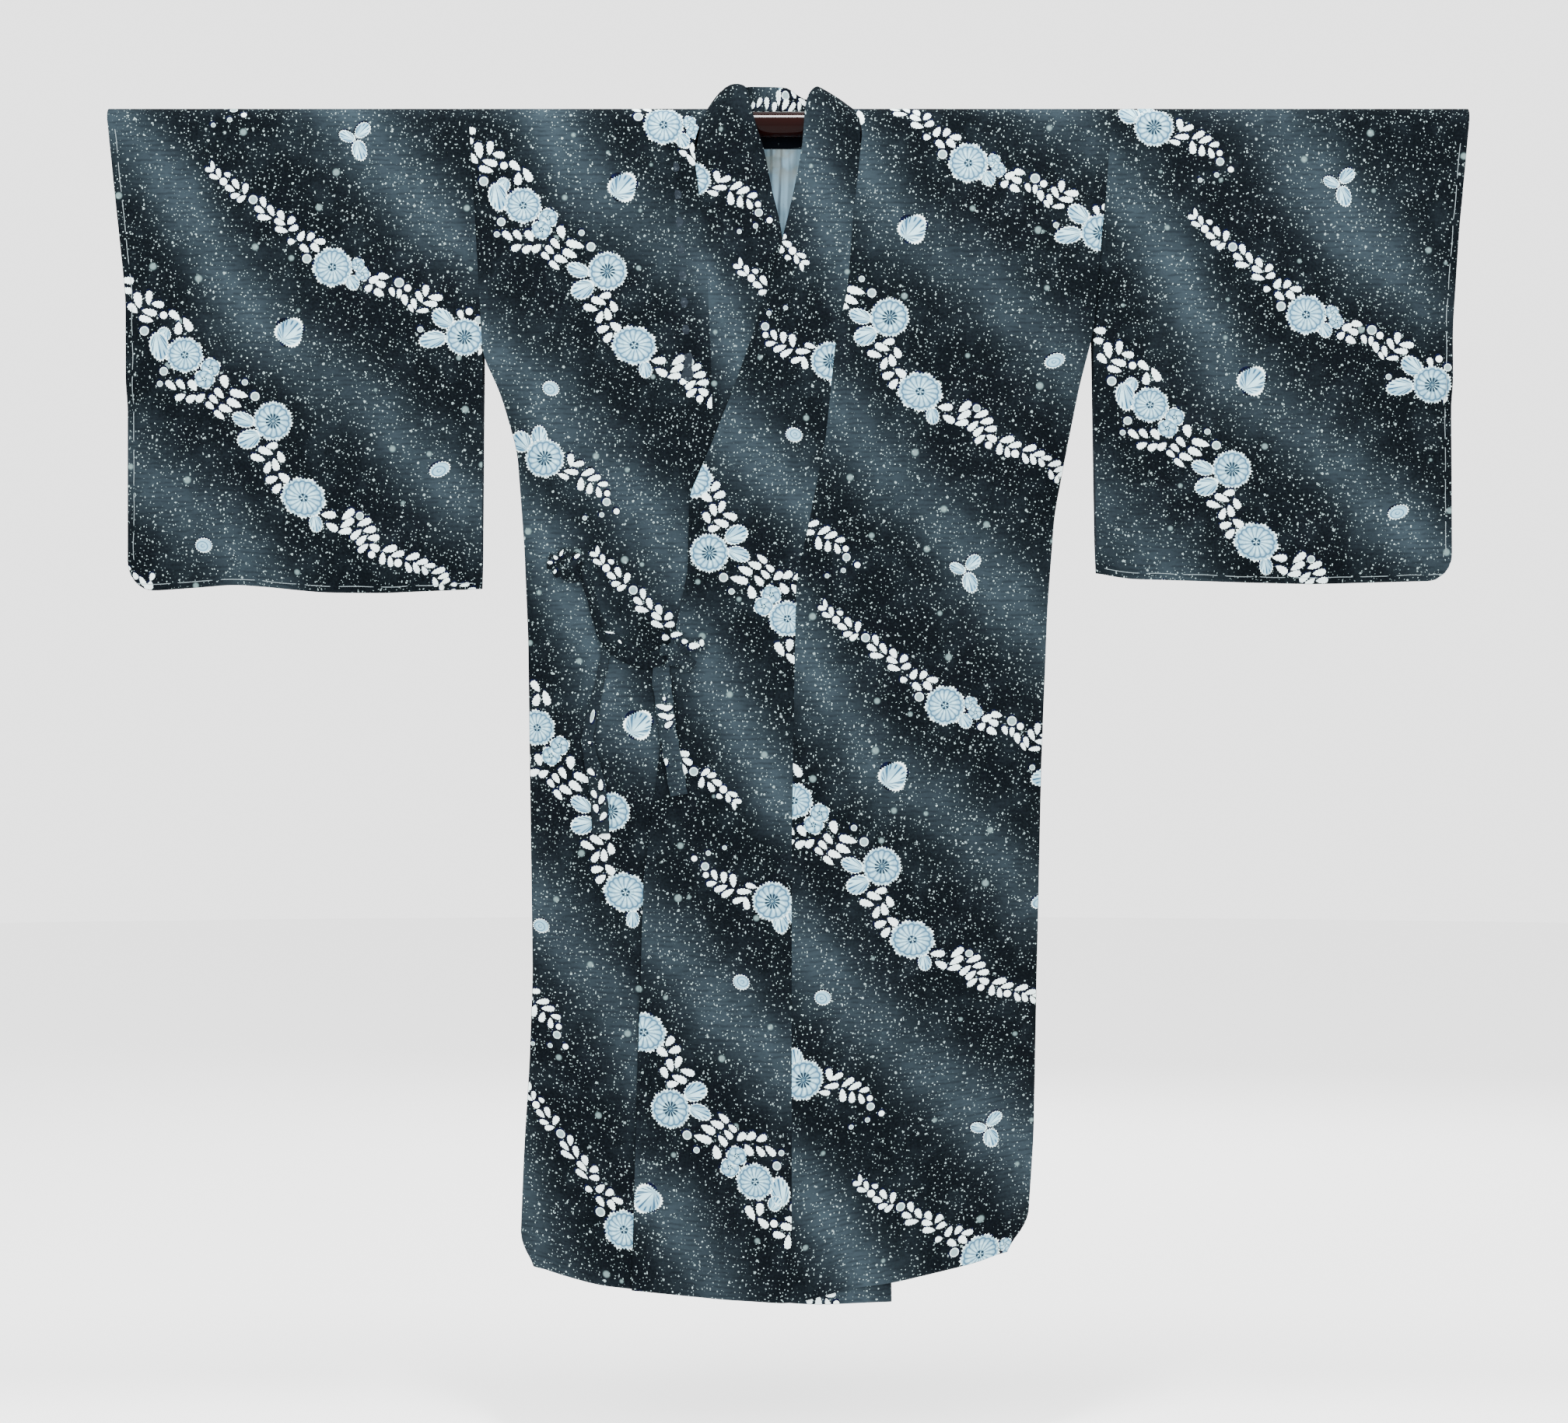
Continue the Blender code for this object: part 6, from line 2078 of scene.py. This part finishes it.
@dataclass
class Coat:
    """The coat's large pieces of cloth, and its basting."""

    wardrobe: Wardrobe
    made: dict[str, bpy.types.Object] = field(default_factory=dict)
    stitch: float = 0.030
    stitch_gap: float = 0.007
    thread_radius: float = 0.00026
    thread_sides: int = 6
    thread_rings: int = 12
    cuff_inset: float = 0.0062
    foot_inset: float = 0.0055
    start_room: float = 0.004
    end_room: float = 0.012
    stray: float = 0.0006

    def make(self) -> None:
        """Make the lining, the body halves, the bands and the sleeves."""
        panels = [LiningPanel()]
        for half in ("right", "left"):
            panels += [BodyPanel(half), SleevePanel(half), BandPanel(half)]
        for panel in panels:
            pattern = Print() if panel.plain else Print.charted(panel)
            item = ClothMaker(self.wardrobe, [panel], [pattern]).make(panel.name, panel.node)
            self.made[panel.node] = item
            width, length, area = panel.flat_size()
            rests = ["body_" + panel.half] if isinstance(panel, BandPanel) else ["rod"]
            rests = ["body_right", "body_left"] if panel.plain else rests
            [self.made[node] if node in self.made else node for node in rests]
            LOG.info("flat %.3f x %.3f m, %.4f m2", width, length, area)
            if isinstance(panel, SleevePanel):
                self.baste(panel)

    def baste(self, panel: SleevePanel) -> None:
        """Sew loose white basting stitches along the sleeve's cuff and foot.

        Args:
            panel: The sleeve.
        """
        inset, start = self.cuff_inset, panel.ends()[0]
        steps = np.linspace(0.0, 1.0, 500)
        up = start + CUFF_CORNER * CORNER_SHARE + (SLEEVE_LENGTH - 0.03) * steps
        low, high = panel.edges(up)
        cuff = np.stack([high - inset if panel.sign > 0 else low + inset, up], axis=1)
        low, high = (float(edge[0]) for edge in panel.edges(np.array([start + CUFF_CORNER])))
        along = low + self.start_room + (high - low - self.end_room) * steps
        hem = np.stack([along, np.full(len(along), start + self.foot_inset)], axis=1)
        draw = random.Random(5 if panel.sign > 0 else 8)
        points, faces = [], []
        for line in (cuff, hem):
            mark = lengths_along(line)
            at = self.start_room
            while at + self.end_room < mark[-1]:
                end = min(at + self.stitch * draw.uniform(0.8, 1.15), mark[-1])
                sway = draw.uniform(-self.stray, self.stray)
                self.add_stitch(panel, line, mark, (at, end), sway, points, faces)
                at = end + self.stitch_gap * draw.uniform(0.8, 1.2)
        mesh = bpy.data.meshes.new("basting")
        mesh.from_pydata(points, [], faces)
        mesh.shade_smooth()
        mesh.materials.append(self.wardrobe.thread)
        item = in_scene(panel.half + "_sleeve_basting", mesh)
        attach(item, "root")
        LOG.info("%s: %d faces", item.name, len(faces))

    def add_stitch(self, panel: SleevePanel, line: Array, mark: Array, span: Pair,
                   sway: float, points: list, faces: list) -> None:
        """Lay one stitch, a thin round thread whose ends dip into the cloth.

        Args:
            panel: The sleeve.
            line: Flat line of the stitches.
            mark: Length along the line.
            span: Start and end of this stitch.
            sway: How far its middle strays to the side.
            points: Corners, which grow.
            faces: Faces, which grow.
        """
        rings, sides = self.thread_rings, self.thread_sides
        at = np.linspace(*span, rings)
        flat = np.stack([np.interp(at, mark, line[:, k]) for k in range(2)], axis=1)
        bow = np.sin(math.pi * np.linspace(0.0, 1.0, rings))
        step = flat[-1] - flat[0]
        flat = flat + np.outer(bow * sway, (-step[1], step[0]) / np.linalg.norm(step))
        facing = panel.facing(flat[:, 0], flat[:, 1])
        lift = self.thread_radius * (np.minimum(bow * 4.0, 1.0) * 1.9 - 1.0)
        middle = panel.hang(flat[:, 0], flat[:, 1]) + facing * lift[:, None]
        along = np.gradient(middle, axis=0)
        side = np.cross(along, facing)
        side /= np.linalg.norm(side, axis=1, keepdims=True)
        shift = len(points)
        for angle in np.linspace(0.0, 2 * math.pi, sides, endpoint=False):
            ring = middle + (side * math.cos(angle) + facing * math.sin(angle)) * self.thread_radius
            points += ring.tolist()
        for k in range(sides):
            for row in range(rings - 1):
                a, b = shift + k * rings + row, shift + (k + 1) % sides * rings + row
                faces.append((a, a + 1, b + 1, b))
        faces.append([shift + k * rings for k in range(sides)])
        faces.append([shift + (k + 1) * rings - 1 for k in reversed(range(sides))])


@dataclass
class Ties:
    """The ties and the knots that hold them."""

    wardrobe: Wardrobe
    beneath: list[bpy.types.Object]

    def make(self) -> None:
        """Lay the ties and tie the knots."""
        trees = [search_tree(item) for item in self.beneath]
        short = TiePanel("tie_end_short", "short_tie_end", TIE_END_SHORT, trees)
        long = TiePanel("tie_end_long", "long_tie_end", TIE_END_LONG, trees)
        trees += [search_tree(self.lay(short, "short")), search_tree(self.lay(long, "long"))]
        self.lay(TiePanel("tie_across", "crossing_tie", TIE_ACROSS, trees), "across")
        self.knot("knot_side", "side_knot_loops", SIDE_KNOT, SIDE_LOOPS, 35.0, trees)
        self.knot("knot_edge", "edge_knot_loops", EDGE_KNOT, EDGE_LOOPS, 75.0, trees)

    def lay(self, panel: TiePanel, key: str) -> bpy.types.Object:
        """Lay one tie.

        Args:
            panel: The tie.
            key: Its name in the tables of leaves and smoke.

        Returns:
            The piece.
        """
        shapes = []
        for row in TIE_LEAVES[key]:
            x, path, long, wide, lean, kind = (*row, Kind.LEAF.value)[:6]
            shapes.append(InkShape(Kind(kind), -x / 1000, path / 1000, long / 1000, wide / 1000,
                                   math.radians(-lean)))
        pattern = Print(shapes, smoke=TIE_SMOKE[key])
        item = ClothMaker(self.wardrobe, [panel], [pattern]).make(panel.name, panel.node)
        width, length, area = panel.flat_size()
        return item

    def knot(self, node: str, name: str, middle: Pair, loops: Sequence[Loop], lean: float,
             trees: list[BVHTree]) -> None:
        """Tie one knot of loops round a wound middle.

        Args:
            node: CAD node.
            name: Name of the piece.
            middle: X and Z of its middle.
            loops: Its loops.
            lean: Lean of the strip wound round the middle.
            trees: Search trees of what it is sewn on.
        """
        seat = foremost(trees, middle, *(np.linspace(-reach, reach, 9) for reach in KNOT_REACH)) - KNOT_SINK
        panels = [LoopPanel(middle, seat, loop) for loop in loops] + [CorePanel(middle, seat, lean)]
        prints = []
        for number, panel in enumerate(panels):
            rows = KNOT_LEAVES[node].get(number, ())
            prints.append(Print([InkShape(Kind.LEAF, x / 1000, panel.length - back / 1000, long / 1000,
                                          wide / 1000, math.radians(lean))
                                 for x, back, long, wide, lean in rows], smoke=KNOT_SMOKE[node]))
        item = ClothMaker(self.wardrobe, panels, prints).make(name, node)
        area = sum(panel.flat_size()[2] for panel in panels)


def bake_sizes(cad: object, now: object) -> None:
    """Turn the CAD box and the dressed box into plain lists, which are not kept."""
    {"cad": plain_lists(cad), "visual": plain_lists(now)}


def plain_lists(box: object) -> object:
    """Turn a box of vectors into plain lists of numbers."""
    if isinstance(box, dict):
        return {key: plain_lists(value) for key, value in box.items()}
    if isinstance(box, (int, float)):
        return float(box)
    return [plain_lists(value) for value in box]


@dataclass
class Studio:
    """Floor, lights and camera."""

    distance: float = 3.553
    lens: float = 85.0
    middle_x: float = -0.0037
    middle_z: float = -0.566
    floor_z: float = -1.262
    floor_radius: float = 9.0
    sky_strength: float = 2.7

    def make(self) -> None:
        """Set up the studio."""
        self.floor()
        self.sky()
        self.area("key_softbox", (-1.7, -2.6, 1.1), (0.0, 0.0, -0.5), 2.2, 2.2, 105.0)
        self.area("fill_softbox", (2.0, -2.4, 0.3), (0.0, 0.0, -0.6), 2.0, 2.0, 45.0)
        self.area("rod_softbox", (-0.012, -0.44, 1.15), (-0.012, 0.0, 0.0), 0.14, 0.45, 58.0)
        self.area("back_softbox", (0.6, 2.6, 0.9), (0.0, 0.0, -0.5), 2.4, 2.0, 100.0)
        self.camera()

    def floor(self) -> None:
        """Lay the plain pale floor."""
        mesh = bpy.data.meshes.new("floor")
        ring = [(self.floor_radius * math.cos(a), self.floor_radius * math.sin(a), self.floor_z)
                for a in np.linspace(0.0, 2 * math.pi, 64, endpoint=False)]
        mesh.from_pydata(ring, [], [tuple(range(64))])
        mesh.materials.append(Nodes("pale_floor").finish((0.90, 0.90, 0.90), 0.9))
        item = in_scene("studio_floor", mesh)
        item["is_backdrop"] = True

    def sky(self) -> None:
        """Light the studio evenly from all round."""
        world = bpy.data.worlds.new("studio")
        world.use_nodes = True
        back = world.node_tree.nodes["Background"]
        back.inputs["Color"].default_value = (1.0, 1.0, 1.0, 1.0)
        back.inputs["Strength"].default_value = self.sky_strength
        bpy.context.scene.world = world

    def area(self, name: str, at: Triple, aim: Triple,
             width: float, height: float, power: float) -> None:
        """Hang an area light and aim it.

        Args:
            name: Name of the light.
            at: Its place.
            aim: Where it points.
            width: Size across.
            height: Size up.
            power: Watts.
        """
        light = bpy.data.lights.new(name, "AREA")
        light.shape = "RECTANGLE"
        light.size, light.size_y = width, height
        light.energy = power
        item = in_scene(name, light)
        item.location = at
        item.rotation_euler = (Vector(aim) - Vector(at)).to_track_quat("-Z", "Y").to_euler()

    def camera(self) -> None:
        """Stand the camera straight in front of the coat."""
        view = bpy.data.cameras.new("camera")
        view.lens = self.lens
        view.sensor_width = 36.0
        view.sensor_fit = "HORIZONTAL"
        item = in_scene("camera", view)
        item.location = (self.middle_x, -self.distance - HANG_DEPTH, self.middle_z)
        item.rotation_euler = (math.pi / 2, 0.0, 0.0)
        bpy.context.scene.camera = item


def main() -> None:
    """Dress the coat piece by piece."""
    logging.basicConfig(level=logging.INFO, format="%(message)s")
    cad_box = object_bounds()
    wardrobe = Wardrobe.dyed()
    Studio().make()
    coat = Coat(wardrobe)
    coat.make()
    Ties(wardrobe, [coat.made["body_right"], coat.made["band_left"], coat.made["band_right"]]).make()
    Rod().make(wardrobe.lacquer)
    bake_sizes(cad_box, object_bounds())


if __name__ == "__main__":
    main()
